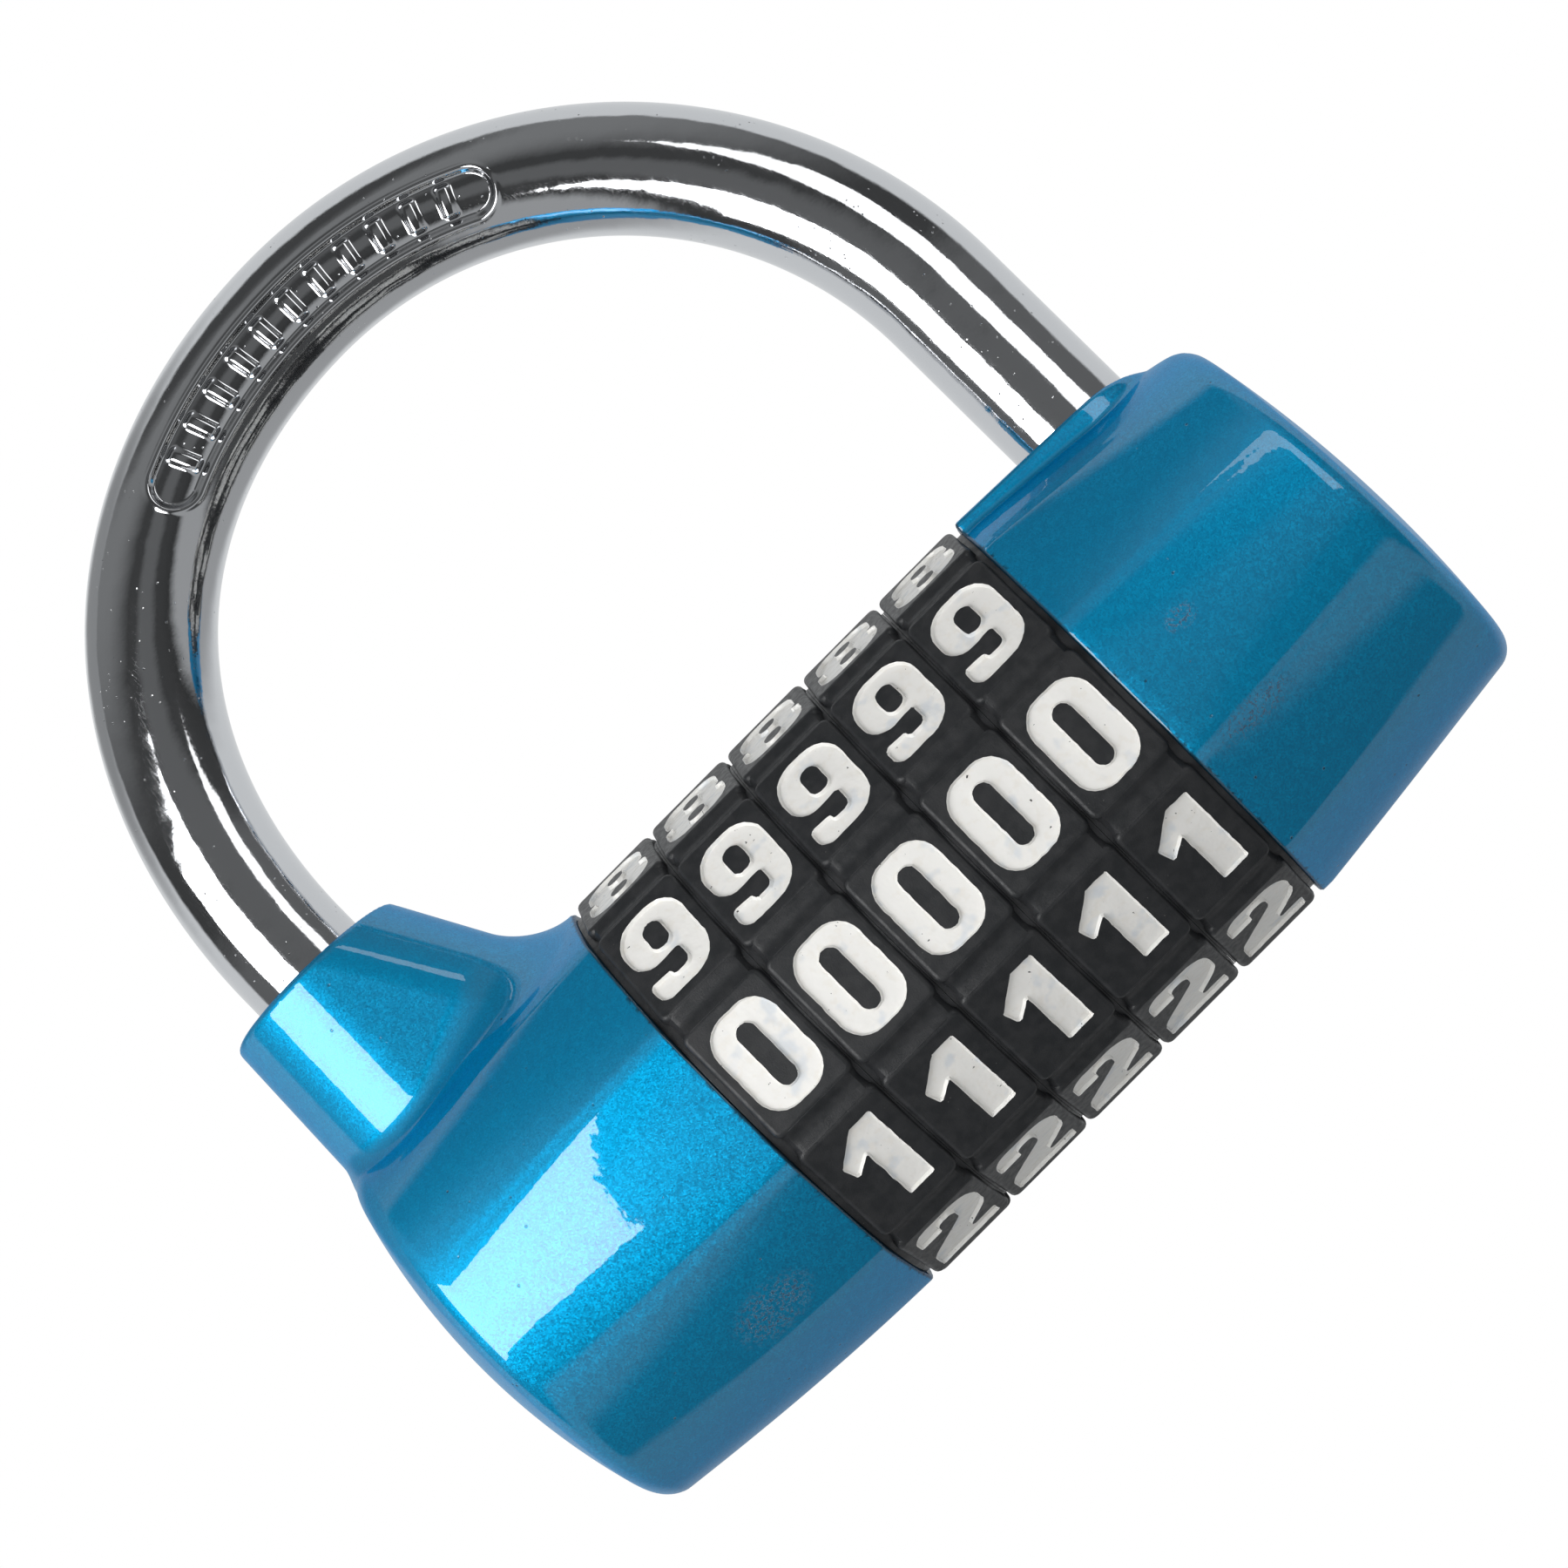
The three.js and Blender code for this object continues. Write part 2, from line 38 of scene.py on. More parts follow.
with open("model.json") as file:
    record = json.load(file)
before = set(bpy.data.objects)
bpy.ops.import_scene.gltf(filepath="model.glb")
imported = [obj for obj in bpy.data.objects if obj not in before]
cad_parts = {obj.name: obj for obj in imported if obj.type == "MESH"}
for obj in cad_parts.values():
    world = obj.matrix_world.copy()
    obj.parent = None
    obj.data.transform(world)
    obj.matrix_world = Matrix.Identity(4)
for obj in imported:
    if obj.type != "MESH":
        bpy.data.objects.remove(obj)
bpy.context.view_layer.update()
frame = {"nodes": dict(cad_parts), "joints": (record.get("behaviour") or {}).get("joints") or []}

MM = 0.001
JOINTS = {joint["name"]: joint for joint in frame["joints"]}
AXIS_Z = JOINTS["dial_1_turn"]["pos_m"][2] / MM


def box_mm(node):
    """Lowest and highest corner of a CAD node, in millimetres from the barrel's axis."""
    lo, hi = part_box(node)
    shift = np.array([0, 0, AXIS_Z])
    return np.array(lo) / MM - shift, np.array(hi) / MM - shift


SHACKLE_LO, SHACKLE_HI = box_mm("shackle")
WIRE_R = (SHACKLE_HI[1] - SHACKLE_LO[1]) / 2
LEG_X = (SHACKLE_HI[0] - SHACKLE_LO[0]) / 2 - WIRE_R
ARCH_Z = SHACKLE_HI[2] - WIRE_R - LEG_X
HEEL_Z = SHACKLE_LO[2]
TOE_Z = 4.7

LEFT_LO, LEFT_HI = box_mm("left_casting")
RIGHT_LO, RIGHT_HI = box_mm("right_casting")
LEFT_TIP_X, LEFT_FACE_X = LEFT_LO[0], LEFT_HI[0]
RIGHT_FACE_X, RIGHT_TIP_X = RIGHT_LO[0], RIGHT_HI[0]
BOSS_TOP_Z = LEFT_HI[2]

DIALS = 5
FACETS = 10
DIAL_LO, DIAL_HI = box_mm("number_dial_1")
DIAL_PITCH = box_mm("number_dial_2")[0][0] - DIAL_LO[0]
DIAL_GAP = 0.22
DIAL_LENGTH = DIAL_PITCH - DIAL_GAP
REST_TURN_ALLOWANCE = 0.06  # the dials rest up to a degree off their clicks
FACET_R = DIAL_HI[1] - REST_TURN_ALLOWANCE
FACET_HALF = 3.585

# ---------- camera ----------
CAMERA_DISTANCE = 276.8
CAMERA_RISE = math.radians(5.7)  # the camera looks up by this much
CAMERA_SWING = math.radians(2.2)  # and stands this far round to the right
CAMERA_TARGET = Vector((0.4, 0, -32.7))
CAMERA_ROLL = math.radians(45)
CAMERA_FIELD = math.radians(16.8)


def add_camera():
    data = bpy.data.cameras.new("camera")
    data.sensor_width = 36
    data.lens = data.sensor_width / 2 / math.tan(CAMERA_FIELD / 2)
    data.clip_start = 0.01
    camera = bpy.data.objects.new("camera", data)
    bpy.context.scene.collection.objects.link(camera)
    level = math.cos(CAMERA_RISE)
    across, ahead = math.sin(CAMERA_SWING), math.cos(CAMERA_SWING)
    forward = Vector((-across * level, ahead * level, math.sin(CAMERA_RISE)))
    right = Vector((ahead, across, 0))
    up = right.cross(forward)
    c, s = math.cos(CAMERA_ROLL), math.sin(CAMERA_ROLL)
    rolled_up = up * c + right * s
    rolled_right = right * c - up * s
    axes = Matrix((rolled_right, rolled_up, -forward)).transposed()
    place = (CAMERA_TARGET - forward * CAMERA_DISTANCE) * MM
    camera.matrix_world = Matrix.Translation(place) @ axes.to_4x4()
    bpy.context.scene.camera = camera


# ---------- material graphs ----------
class Graph:
    """A material's node tree. Its coordinates are the piece's own, in millimetres."""

    def __init__(self, name):
        self.material = bpy.data.materials.new(name)
        self.material.use_nodes = True
        self.tree = self.material.node_tree
        self.shader = self.tree.nodes["Principled BSDF"]
        coordinates = self.add("TexCoord").outputs["Object"]
        scaled = self.add("VectorMath", {0: coordinates, 1: (1 / MM,) * 3}, operation="MULTIPLY")
        self.place = scaled.outputs["Vector"]
        self.normal = self.add("NewGeometry").outputs["Normal"]

    def add(self, kind, inputs=None, **settings):
        node = self.tree.nodes.new("ShaderNode" + kind)
        for key, value in settings.items():
            setattr(node, key, value)
        for key, value in (inputs or {}).items():
            self.feed(node.inputs[key], value)
        return node

    def feed(self, socket, value):
        if isinstance(value, bpy.types.NodeSocket):
            self.tree.links.new(value, socket)
        else:
            socket.default_value = value

    def set(self, **values):
        for name, value in values.items():
            self.feed(self.shader.inputs[name.replace("_", " ")], value)

    def noise(self, scale, detail=2, roughness=0.5, place=None):
        inputs = {"Vector": place or self.place, "Scale": scale, "Detail": detail, "Roughness": roughness}
        return self.add("TexNoise", inputs).outputs["Fac"]

    def cells(self, scale, output="Color"):
        return self.add("TexVoronoi", {"Vector": self.place, "Scale": scale}).outputs[output]

    def math(self, operation, a, b=0.0):
        return self.add("Math", {0: a, 1: b}, operation=operation).outputs[0]

    def ramp(self, value, low, high, to_low=0.0, to_high=1.0, kind="SMOOTHSTEP"):
        inputs = {"Value": value, "From Min": low, "From Max": high, "To Min": to_low, "To Max": to_high}
        return self.add("MapRange", inputs, interpolation_type=kind).outputs["Result"]

    def mix(self, share, a, b):
        node = self.add("Mix", data_type="RGBA")
        self.feed(node.inputs["Factor"], share)
        self.feed(node.inputs[6], a)
        self.feed(node.inputs[7], b)
        return node.outputs[2]

    def axis(self, index):
        return self.add("SeparateXYZ", {0: self.place}).outputs[index]

    def bump(self, height, distance, normal=None):
        """Distance is in millimetres."""
        inputs = {"Height": height, "Distance": distance * MM, "Strength": 1.0}
        if normal is not None:
            inputs["Normal"] = normal
        return self.add("Bump", inputs).outputs["Normal"]

    def spot(self, centre, radii):
        """One at a place in the piece, and nothing beyond the radii."""
        away = self.add("VectorMath", {0: self.place, 1: centre}, operation="SUBTRACT").outputs["Vector"]
        shares = self.add("VectorMath", {0: away, 1: radii}, operation="DIVIDE").outputs["Vector"]
        length = self.add("VectorMath", {0: shares}, operation="LENGTH").outputs["Value"]
        return self.ramp(length, 0.4, 1.0, 1.0, 0.0)


def rgb(r, g, b):
    return (r, g, b, 1.0)


def flake_paint(name, scuffs, edge_x):
    """Blue paint over fine metal flakes, under a clear coat, with dust pits, scuffs, chips near the face
    next to the dials and a painted shade line along that face.
    """
    g = Graph(name)
    tilt = g.cells(13.0)
    centred = g.add("VectorMath", {0: tilt, 1: (0.5,) * 3}, operation="SUBTRACT").outputs["Vector"]
    spread = g.add("VectorMath", {0: centred, "Scale": 0.19}, operation="SCALE").outputs["Vector"]
    leaning = g.add("VectorMath", {0: g.normal, 1: spread}, operation="ADD").outputs["Vector"]
    flake_normal = g.add("VectorMath", {0: leaning}, operation="NORMALIZE").outputs["Vector"]
    lightness = g.add("SeparateColor", {0: tilt}).outputs[2]
    cloudy = g.ramp(g.noise(1.6), 0.3, 0.7, 0.6, 1)
    share = g.math("MULTIPLY", g.ramp(lightness, 0, 1, kind="LINEAR"), cloudy)
    colour = g.mix(share, rgb(0.0, 0.31, 0.6), rgb(0.0, 0.45, 0.8))

    pit_size = g.cells(0.9, "Distance")
    pit = g.math("MULTIPLY", g.ramp(pit_size, 0.05, 0.085, 1, 0), g.ramp(g.noise(0.35), 0.52, 0.6))
    colour = g.mix(g.math("MULTIPLY", pit, 0.75), colour, rgb(0.0, 0.05, 0.1))

    scratches = g.ramp(g.noise(5.0, 4, 0.7), 0.5, 0.62)
    worn = None
    for centre, radii in scuffs:
        patch = g.math("MULTIPLY", g.spot(centre, radii), scratches)
        worn = patch if worn is None else g.math("MAXIMUM", worn, patch)
    colour = g.mix(g.math("MULTIPLY", worn, 0.65), colour, rgb(0.07, 0.1, 0.15))

    # Chips at random near the face next to the dials, and a painted shade line along that face.
    from_edge = g.math("ABSOLUTE", g.math("SUBTRACT", g.axis(0), edge_x))
    dark_marks = g.math("MULTIPLY", g.ramp(from_edge, 0.1, 0.42, 1, 0), g.ramp(g.noise(2.6, 3), 0.55, 0.62))
    # painted shade: an unbroken near-black band along the face, for the shaded gap between casting and dial
    dark_marks = g.math("MAXIMUM", dark_marks, g.ramp(from_edge, 0.08, 0.24, 1.0, 0.0))
    colour = g.mix(g.math("MULTIPLY", dark_marks, 0.85), colour, rgb(0.012, 0.018, 0.024))

    peel = g.bump(g.noise(1.1, 2), 0.006)
    dents = g.bump(g.math("ADD", pit, g.math("MULTIPLY", worn, 0.5)), -0.03, peel)
    g.set(Base_Color=colour, Normal=flake_normal, Coat_Normal=dents)
    facing = g.add("LayerWeight", {"Blend": 0.5}).outputs["Facing"]
    g.set(Coat_Weight=g.ramp(facing, 0.25, 0.75, 1.0, 0.35))
    g.set(Metallic=0.85, Roughness=g.math("ADD", 0.53, g.math("MULTIPLY", worn, 0.2)))
    g.set(Specular_Tint=rgb(0.06, 0.44, 0.78), Specular_IOR_Level=0.3)
    g.set(Coat_Roughness=0.03, Coat_IOR=1.72)
    return g.material


def chrome():
    """Bright plate over drawn wire: fine pits, hairline scratches and a slight waviness."""
    g = Graph("chrome")
    pit_size = g.cells(2.2, "Distance")
    pit = g.math("MULTIPLY", g.ramp(pit_size, 0.05, 0.14, 1, 0), g.ramp(g.noise(0.5), 0.54, 0.64))
    colour = g.mix(g.math("MULTIPLY", pit, 0.8), rgb(0.66, 0.67, 0.69), rgb(0.05, 0.045, 0.04))
    stretched = g.add("VectorMath", {0: g.place, 1: (6.0, 6.0, 0.7)}, operation="MULTIPLY")
    hairlines = g.ramp(g.noise(2.0, 3, 0.6, stretched.outputs["Vector"]), 0.35, 0.75)
    roughness = g.math("ADD", 0.05, g.math("MULTIPLY", hairlines, 0.08))
    grain = g.bump(g.noise(5.0, 2, 0.5), 0.002)
    wave = g.bump(g.noise(0.55, 1), 0.03, grain)
    g.set(Base_Color=colour, Metallic=1.0, Roughness=roughness, Normal=g.bump(pit, -0.05, wave))
    return g.material


def black_plastic():
    """Moulded satin plastic with a fine grain and a little dust."""
    g = Graph("black_plastic")
    speck = g.ramp(g.cells(2.4, "Distance"), 0.04, 0.1, 1, 0)
    dust = g.math("MULTIPLY", speck, g.ramp(g.noise(0.8), 0.55, 0.65))
    tone = g.mix(g.ramp(g.noise(1.2, 3), 0.35, 0.65), rgb(0.019, 0.0205, 0.0225), rgb(0.028, 0.029, 0.031))
    colour = g.mix(g.math("MULTIPLY", dust, 0.5), tone, rgb(0.2, 0.19, 0.18))
    grain = g.bump(g.noise(11.0, 3, 0.6), 0.012)
    roughness = g.ramp(g.noise(3.0, 2), 0.3, 0.7, 0.36, 0.5)
    g.set(Base_Color=colour, Roughness=roughness, Normal=grain, Specular_IOR_Level=0.4)
    return g.material


def digit_paint():
    """Off-white enamel that fills the digits, uneven in thickness, with grey-blue patches of painted shade
    and small chips.
    """
    g = Graph("digit_paint")
    # painted shade: grey-blue patches at random over the white
    painted_shade_patches = g.ramp(g.noise(0.75, 2, 0.5), 0.56, 0.72, 0.0, 0.5)
    colour = g.mix(painted_shade_patches, rgb(0.88, 0.87, 0.84), rgb(0.6, 0.66, 0.73))
    warm = g.ramp(g.noise(2.0, 3), 0.5, 0.7, 0.0, 0.25)
    colour = g.mix(warm, colour, rgb(0.78, 0.73, 0.64))
    dark_marks = g.math("MULTIPLY", g.ramp(g.noise(3.2, 3, 0.6), 0.69, 0.71), g.ramp(g.noise(0.6), 0.5, 0.52))
    colour = g.mix(dark_marks, colour, rgb(0.02, 0.02, 0.02))
    pool = g.bump(g.noise(1.3, 2), 0.05)
    g.set(Base_Color=colour, Roughness=g.ramp(dark_marks, 0, 1, 0.2, 0.5), Normal=pool)
    return g.material


def bare_metal(name, dark, light, roughness):
    """Turned or drawn metal, with fine rings and stains."""
    g = Graph(name)
    rings = g.add("VectorMath", {0: g.place, 1: (14.0, 1.0, 1.0)}, operation="MULTIPLY").outputs["Vector"]
    turned = g.noise(1.0, 3, 0.6, rings)
    colour = g.mix(g.ramp(g.noise(0.9, 3), 0.35, 0.7), rgb(*dark), rgb(*light))
    worn = g.ramp(turned, 0.3, 0.7, roughness - 0.08, roughness + 0.1)
    g.set(Base_Color=colour, Metallic=1.0, Roughness=worn, Normal=g.bump(turned, 0.01))
    return g.material


# ---------- meshes ----------
def add_object(name, mesh):
    piece = bpy.data.objects.new(name, mesh)
    bpy.context.scene.collection.objects.link(piece)
    return piece


def place_in_frame(points):
    return (np.asarray(points) + np.array([0, 0, AXIS_Z])) * MM


def step_up(value, low, high):
    share = np.clip((value - low) / (high - low), 0, 1)
    return share * share * (3 - 2 * share)


def round_max(a, b, radius):
    """What two fields share, with a rounded edge."""
    corner = np.hypot(np.maximum(a + radius, 0), np.maximum(b + radius, 0))
    return np.minimum(np.maximum(a, b), -radius) + corner


def round_min(a, b, radius):
    """Two fields joined, with a fillet between them."""
    corner = np.hypot(np.maximum(radius - a, 0), np.maximum(radius - b, 0))
    return np.maximum(np.minimum(a, b), radius) - corner


def gradient(field, points, step=0.01):
    slopes = np.empty_like(points)
    for axis in range(3):
        shift = np.zeros(3)
        shift[axis] = step
        slopes[:, axis] = field(*(points + shift).T) - field(*(points - shift).T)
    return slopes / (2 * step)


def mesh_of_field(name, field, lo, hi, step):
    """A closed mesh of the surface where a field is zero, with the field's own normals."""
    axes = [np.arange(a, b + step, step) for a, b in zip(lo, hi)]
    values = field(*np.meshgrid(*axes, indexing="ij"))
    reach = 3 * step
    grid = openvdb.FloatGrid(reach)
    grid.copyFromArray(np.ascontiguousarray(np.clip(values, -reach, reach), dtype=np.float32))
    points, quads = grid.convertToQuads(0.0)
    points = np.asarray(points, float) * step + np.asarray(lo)
    for _ in range(4):
        slopes = gradient(field, points)
        value = field(*points.T)
        points = points - slopes * (value / np.maximum((slopes**2).sum(1), 1e-6))[:, None]
    normals = gradient(field, points)
    normals /= np.linalg.norm(normals, axis=1)[:, None]
    mesh = bpy.data.meshes.new(name)
    mesh.from_pydata(place_in_frame(points).tolist(), [], np.asarray(quads).tolist())
    mesh.update()
    face = mesh.polygons[0]
    if face.normal.dot(Vector(normals[face.vertices[0]])) < 0:
        mesh.flip_normals()
    mesh.shade_smooth()
    mesh.normals_split_custom_set_from_vertices(normals.tolist())
    return mesh


def mesh_of_rings(name, rings, smooth=True):
    """A closed skin over rings of equal point count, with a flat face at each end."""
    count = len(rings[0])
    points = np.concatenate(rings)
    last = len(rings) - 1
    faces = [list(range(count))[::-1], [last * count + i for i in range(count)]]
    for k in range(last):
        for i in range(count):
            j = (i + 1) % count
            faces.append([k * count + i, k * count + j, (k + 1) * count + j, (k + 1) * count + i])
    mesh = bpy.data.meshes.new(name)
    mesh.from_pydata(place_in_frame(points).tolist(), [], faces)
    face_outward(mesh)
    if smooth:
        mesh.shade_smooth()
    return mesh


def join_loops(work, a, b):
    """Faces between two closed loops of vertices."""
    for i in range(len(a)):
        j = (i + 1) % len(a)
        work.faces.new((a[i], a[j], b[j], b[i]))


def finish_solid(name, work):
    """Turns a bmesh into an object whose faces look outward."""
    bmesh.ops.recalc_face_normals(work, faces=work.faces)
    mesh = bpy.data.meshes.new(name)
    work.to_mesh(mesh)
    work.free()
    return add_object(name, mesh)


def face_outward(mesh):
    work = bmesh.new()
    work.from_mesh(mesh)
    bmesh.ops.recalc_face_normals(work, faces=work.faces)
    work.to_mesh(mesh)
    work.free()


def combine(target, others, operation):
    """Joins or cuts solids. The cut faces keep the cutter's material."""
    for other in others:
        modifier = target.modifiers.new("combine", "BOOLEAN")
        modifier.object = other
        modifier.operation = operation
        modifier.solver = "MANIFOLD"
        modifier.material_mode = "TRANSFER"
    settle(target)
    for other in others:
        bpy.data.objects.remove(other)


def settle(piece):
    """Applies every modifier."""
    bpy.context.view_layer.update()
    shaped = piece.evaluated_get(bpy.context.evaluated_depsgraph_get())
    mesh = bpy.data.meshes.new_from_object(shaped)
    piece.modifiers.clear()
    piece.data = mesh


def crisp(piece, angle=28):
    """Smooth shading that stays flat on flat faces and sharp on sharp edges."""
    piece.data.shade_smooth()
    piece.data.set_sharp_from_angle(angle=math.radians(angle))
    modifier = piece.modifiers.new("weighted", "WEIGHTED_NORMAL")
    modifier.keep_sharp = True
    settle(piece)


# ---------- castings ----------
CREASES = [-160, -126, -90, -54, -20, 20, 54, 90, 126, 160]  # degrees from the front, up
LEG_BORE_R = 3.8
TUBE_BORE_R = 4.8
TUBE_END_X = {"left": -18.3, "right": 19.2}
SPRING_BORE_R = 2.6
SPRING_BORE_END_X = 29.2  # the spindle's spring stands in this bore, past the core tube
NOSE_BORE_R = 2.0  # for the spindle's nose, between the core tube and the heel leg
BORE_CLEARANCE = 0.3  # under the legs' ends
PIN_CLEARANCE = 0.3
VOXEL = 0.21
GROOVE_DEPTH = 0.05  # of the line along each crease
GROOVE_HALF_WIDTH = 0.28
CREASED = 0.68  # how flat the flats are next to the dials
CREASE_FADE = 0.9
LEFT_FADE_LENGTH = 19  # the creases fade out over this length from the dials
RIGHT_FADE_LENGTH = 17
FACE_ROUNDING = 0.2
LEG_BORE_MOUTH = 0.2  # the rounding of a leg's bore
PIN_BORE_MOUTH = 0.12
PAD_TOP_Z = 13.05  # at the dials, from where it slopes down
COLLAR_R = 5.65
COLLAR_START_Z = 20.3  # below this the collar widens
BOSS_LOW_Z = 2  # the collar and the pad end inside the barrel here


def barrel_field(x, y, z, radius, creased, softness):
    """Ten flats that turn into a round section as creased goes from one to zero."""
    flats = []
    for start, end in zip(CREASES, CREASES[1:] + [CREASES[0] + 360]):
        middle, half = math.radians((start + end) / 2), math.radians((end - start) / 2)
        flats.append(-y * math.cos(middle) + z * math.sin(middle) - radius * math.cos(half))
    top = np.maximum.reduce(flats)
    total = sum(np.exp(np.maximum((flat - top) / softness, -40)) for flat in flats)
    facets = (1 - creased) * (np.hypot(y, z) - radius) + creased * (top + softness * np.log(total))
    bearing = np.degrees(np.arctan2(z, -y))
    nearest = np.minimum.reduce([np.abs((bearing - crease + 180) % 360 - 180) for crease in CREASES])
    groove = np.exp(-((np.radians(nearest) * radius / GROOVE_HALF_WIDTH) ** 2))
    return facets + GROOVE_DEPTH * groove * creased / CREASED


def rod_z(x, y, radius, at_x):
    return np.hypot(x - at_x, y) - radius


def hole(solid, bore, start, mouth=0.15):
    """Cuts a bore that begins at start, where start's field is below zero."""
    return round_max(solid, -np.maximum(bore, start), mouth)


def strap_field(x, y, left_x, left_r, right_x, right_r):
    """Seen from above: the outline round two circles."""
    length = np.maximum(right_x - left_x, 1e-3)
    b = np.clip((left_r - right_r) / length, -0.99, 0.99)
    a = np.sqrt(1 - b * b)
    across, along = np.abs(y), x - left_x
    k = a * along - b * across
    side = a * across + b * along - left_r
    at_left = np.hypot(across, along) - left_r
    at_right = np.hypot(across, along - length) - right_r
    return np.where(k < 0, at_left, np.where(k > a * length, at_right, side))


def dome_field(x, y, z, tip_x, rise, rim_r):
    """A shallow round end whose rim stands rise behind its tip."""
    side = math.copysign(1, tip_x)
    radius = (rim_r**2 + rise**2) / (2 * rise)
    return np.sqrt((x - tip_x + side * radius) ** 2 + y * y + z * z) - radius


def creased_barrel(x, y, z, radius, share):
    """The barrel's flats, which fade as share goes from zero to one."""
    return barrel_field(x, y, z, radius, CREASED * (1 - share) ** CREASE_FADE, 0.05 + 0.5 * share**2)


def left_field(x, y, z):
    from_face = np.clip(LEFT_FACE_X - x, 0, LEFT_FADE_LENGTH)
    radius = 13.42 - 0.025 * from_face - 0.0031 * from_face**2
    barrel = creased_barrel(x, y, z, radius, from_face / LEFT_FADE_LENGTH)
    dome = dome_field(x, y, z, tip_x=LEFT_TIP_X + 0.55, rise=1.85, rim_r=11.4)
    solid = round_max(barrel, dome, 0.9)

    down = COLLAR_START_Z - z
    left_r = COLLAR_R + 0.03 * down
    right_r = COLLAR_R - 0.08 * down
    right_end = -18.5 + 0.545 * down
    collar = strap_field(x, y, -LEG_X, left_r, right_end - right_r, right_r)
    collar = round_max(collar, z - BOSS_TOP_Z, 0.45)
    collar = np.maximum(collar, BOSS_LOW_Z - z)
    solid = round_min(solid, collar, 0.9 + 1.6 * step_up(x, -24.5, -18))
    solid = round_max(solid, x - LEFT_FACE_X, FACE_ROUNDING)

    solid = hole(solid, rod_z(x, y, LEG_BORE_R, -LEG_X), HEEL_Z - BORE_CLEARANCE - z, LEG_BORE_MOUTH)
    solid = hole(solid, np.hypot(y, z) - TUBE_BORE_R, TUBE_END_X["left"] - x)
    solid = hole(solid, np.hypot(y, z) - NOSE_BORE_R, -LEG_X - x)
    solid = pin_hole(solid, x, y, z, "shackle_pin")
    return pin_hole(solid, x, y, z, "case_pin_left")


def right_field(x, y, z):
    from_face = np.clip(x - RIGHT_FACE_X, 0, RIGHT_FADE_LENGTH)
    radius = 13.5 - 0.11 * np.maximum(from_face - 0.8, 0) - 0.0008 * from_face**2
    barrel = creased_barrel(x, y, z, radius, from_face / RIGHT_FADE_LENGTH)
    beyond_leg = np.maximum(x - 25.5, 0)
    above_pad = z - PAD_TOP_Z + 0.035 * (x - RIGHT_FACE_X) + 0.05 * beyond_leg**2
    barrel = round_max(barrel, above_pad, 0.2)
    dome = dome_field(x, y, z + 2.5, tip_x=RIGHT_TIP_X - 0.3, rise=0.9, rim_r=10.9)
    solid = round_max(barrel, dome, 0.95)

    pad = strap_field(x, y, RIGHT_FACE_X - 5, 4.75, LEG_X, 4.6)
    pad = round_max(pad, above_pad, 0.3)
    pad = np.maximum(pad, BOSS_LOW_Z - z)
    solid = round_min(solid, pad, 0.35)
    solid = round_max(solid, RIGHT_FACE_X - x, FACE_ROUNDING)

    solid = hole(solid, rod_z(x, y, LEG_BORE_R, LEG_X), TOE_Z - BORE_CLEARANCE - z, LEG_BORE_MOUTH)
    solid = hole(solid, np.hypot(y, z) - TUBE_BORE_R, x - TUBE_END_X["right"])
    solid = hole(solid, np.hypot(y, z) - SPRING_BORE_R, x - SPRING_BORE_END_X)
    return pin_hole(solid, x, y, z, "case_pin_right")


def pin_hole(solid, x, y, z, pin):
    """A blind hole round a cross pin, open at the back."""
    lo, hi = box_mm(pin)
    radius = (hi[0] - lo[0]) / 2 + PIN_CLEARANCE
    bore = np.hypot(x - (lo[0] + hi[0]) / 2, z - (lo[2] + hi[2]) / 2) - radius
    return hole(solid, bore, lo[1] - PIN_CLEARANCE - y, PIN_BORE_MOUTH)


def add_castings():
    specs = [
        ("left_casting", left_field, LEFT_LO, LEFT_HI, LEFT_FACE_X,
         [((-18.2, -9.7, AXIS_Z - 8.9), (3.2, 4.0, 1.7))]),
        ("right_casting", right_field, RIGHT_LO, RIGHT_HI, RIGHT_FACE_X,
         [((20.0, -11.7, AXIS_Z - 4.9), (3.4, 4.0, 0.9)), ((20.6, -12.4, AXIS_Z + 0.9), (1.2, 4.0, 0.8))]),
    ]
    for node, field, lo, hi, face_x, scuffs in specs:
        mesh = mesh_of_field(node + "_body", field, lo - 1, hi + 1, VOXEL)
        mesh.materials.append(flake_paint(node + "_paint", scuffs, face_x))
        piece = add_object(node + "_body", mesh)
        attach(piece, "case")
        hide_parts(node)


# ---------- shackle ----------
PILL_HALF_LENGTH = 12.75
PILL_HALF_WIDTH = 1.5
PILL_DEPTH = 0.38
PILL_TURN = math.radians(-9)  # the recess sits a little below the middle of the wire's front
BARS = 11
BAR_PITCH = 2.0
BAR_HALF_WIDTH = 0.16
BAR_HALF_LENGTH = 0.72
BAR_HEIGHT = 0.26
RIM_HEIGHT = 0.04  # of the edge pushed up round the recess
WIRE_CHAMFERS = {"heel": 0.3, "toe": 0.8}
WEDGE_TOP_Z = 2.0
SWELL = 0.6  # how far the heel side of the bend bulges beyond its circle
LIFT = JOINTS["shackle_lift"]["range_m"][1] / MM
SPINDLE_TRAVEL = JOINTS["spindle_slide"]["range_m"][1] / MM
SPINDLE_R = 1.6
SHACKLE_PIN_R = 1.0


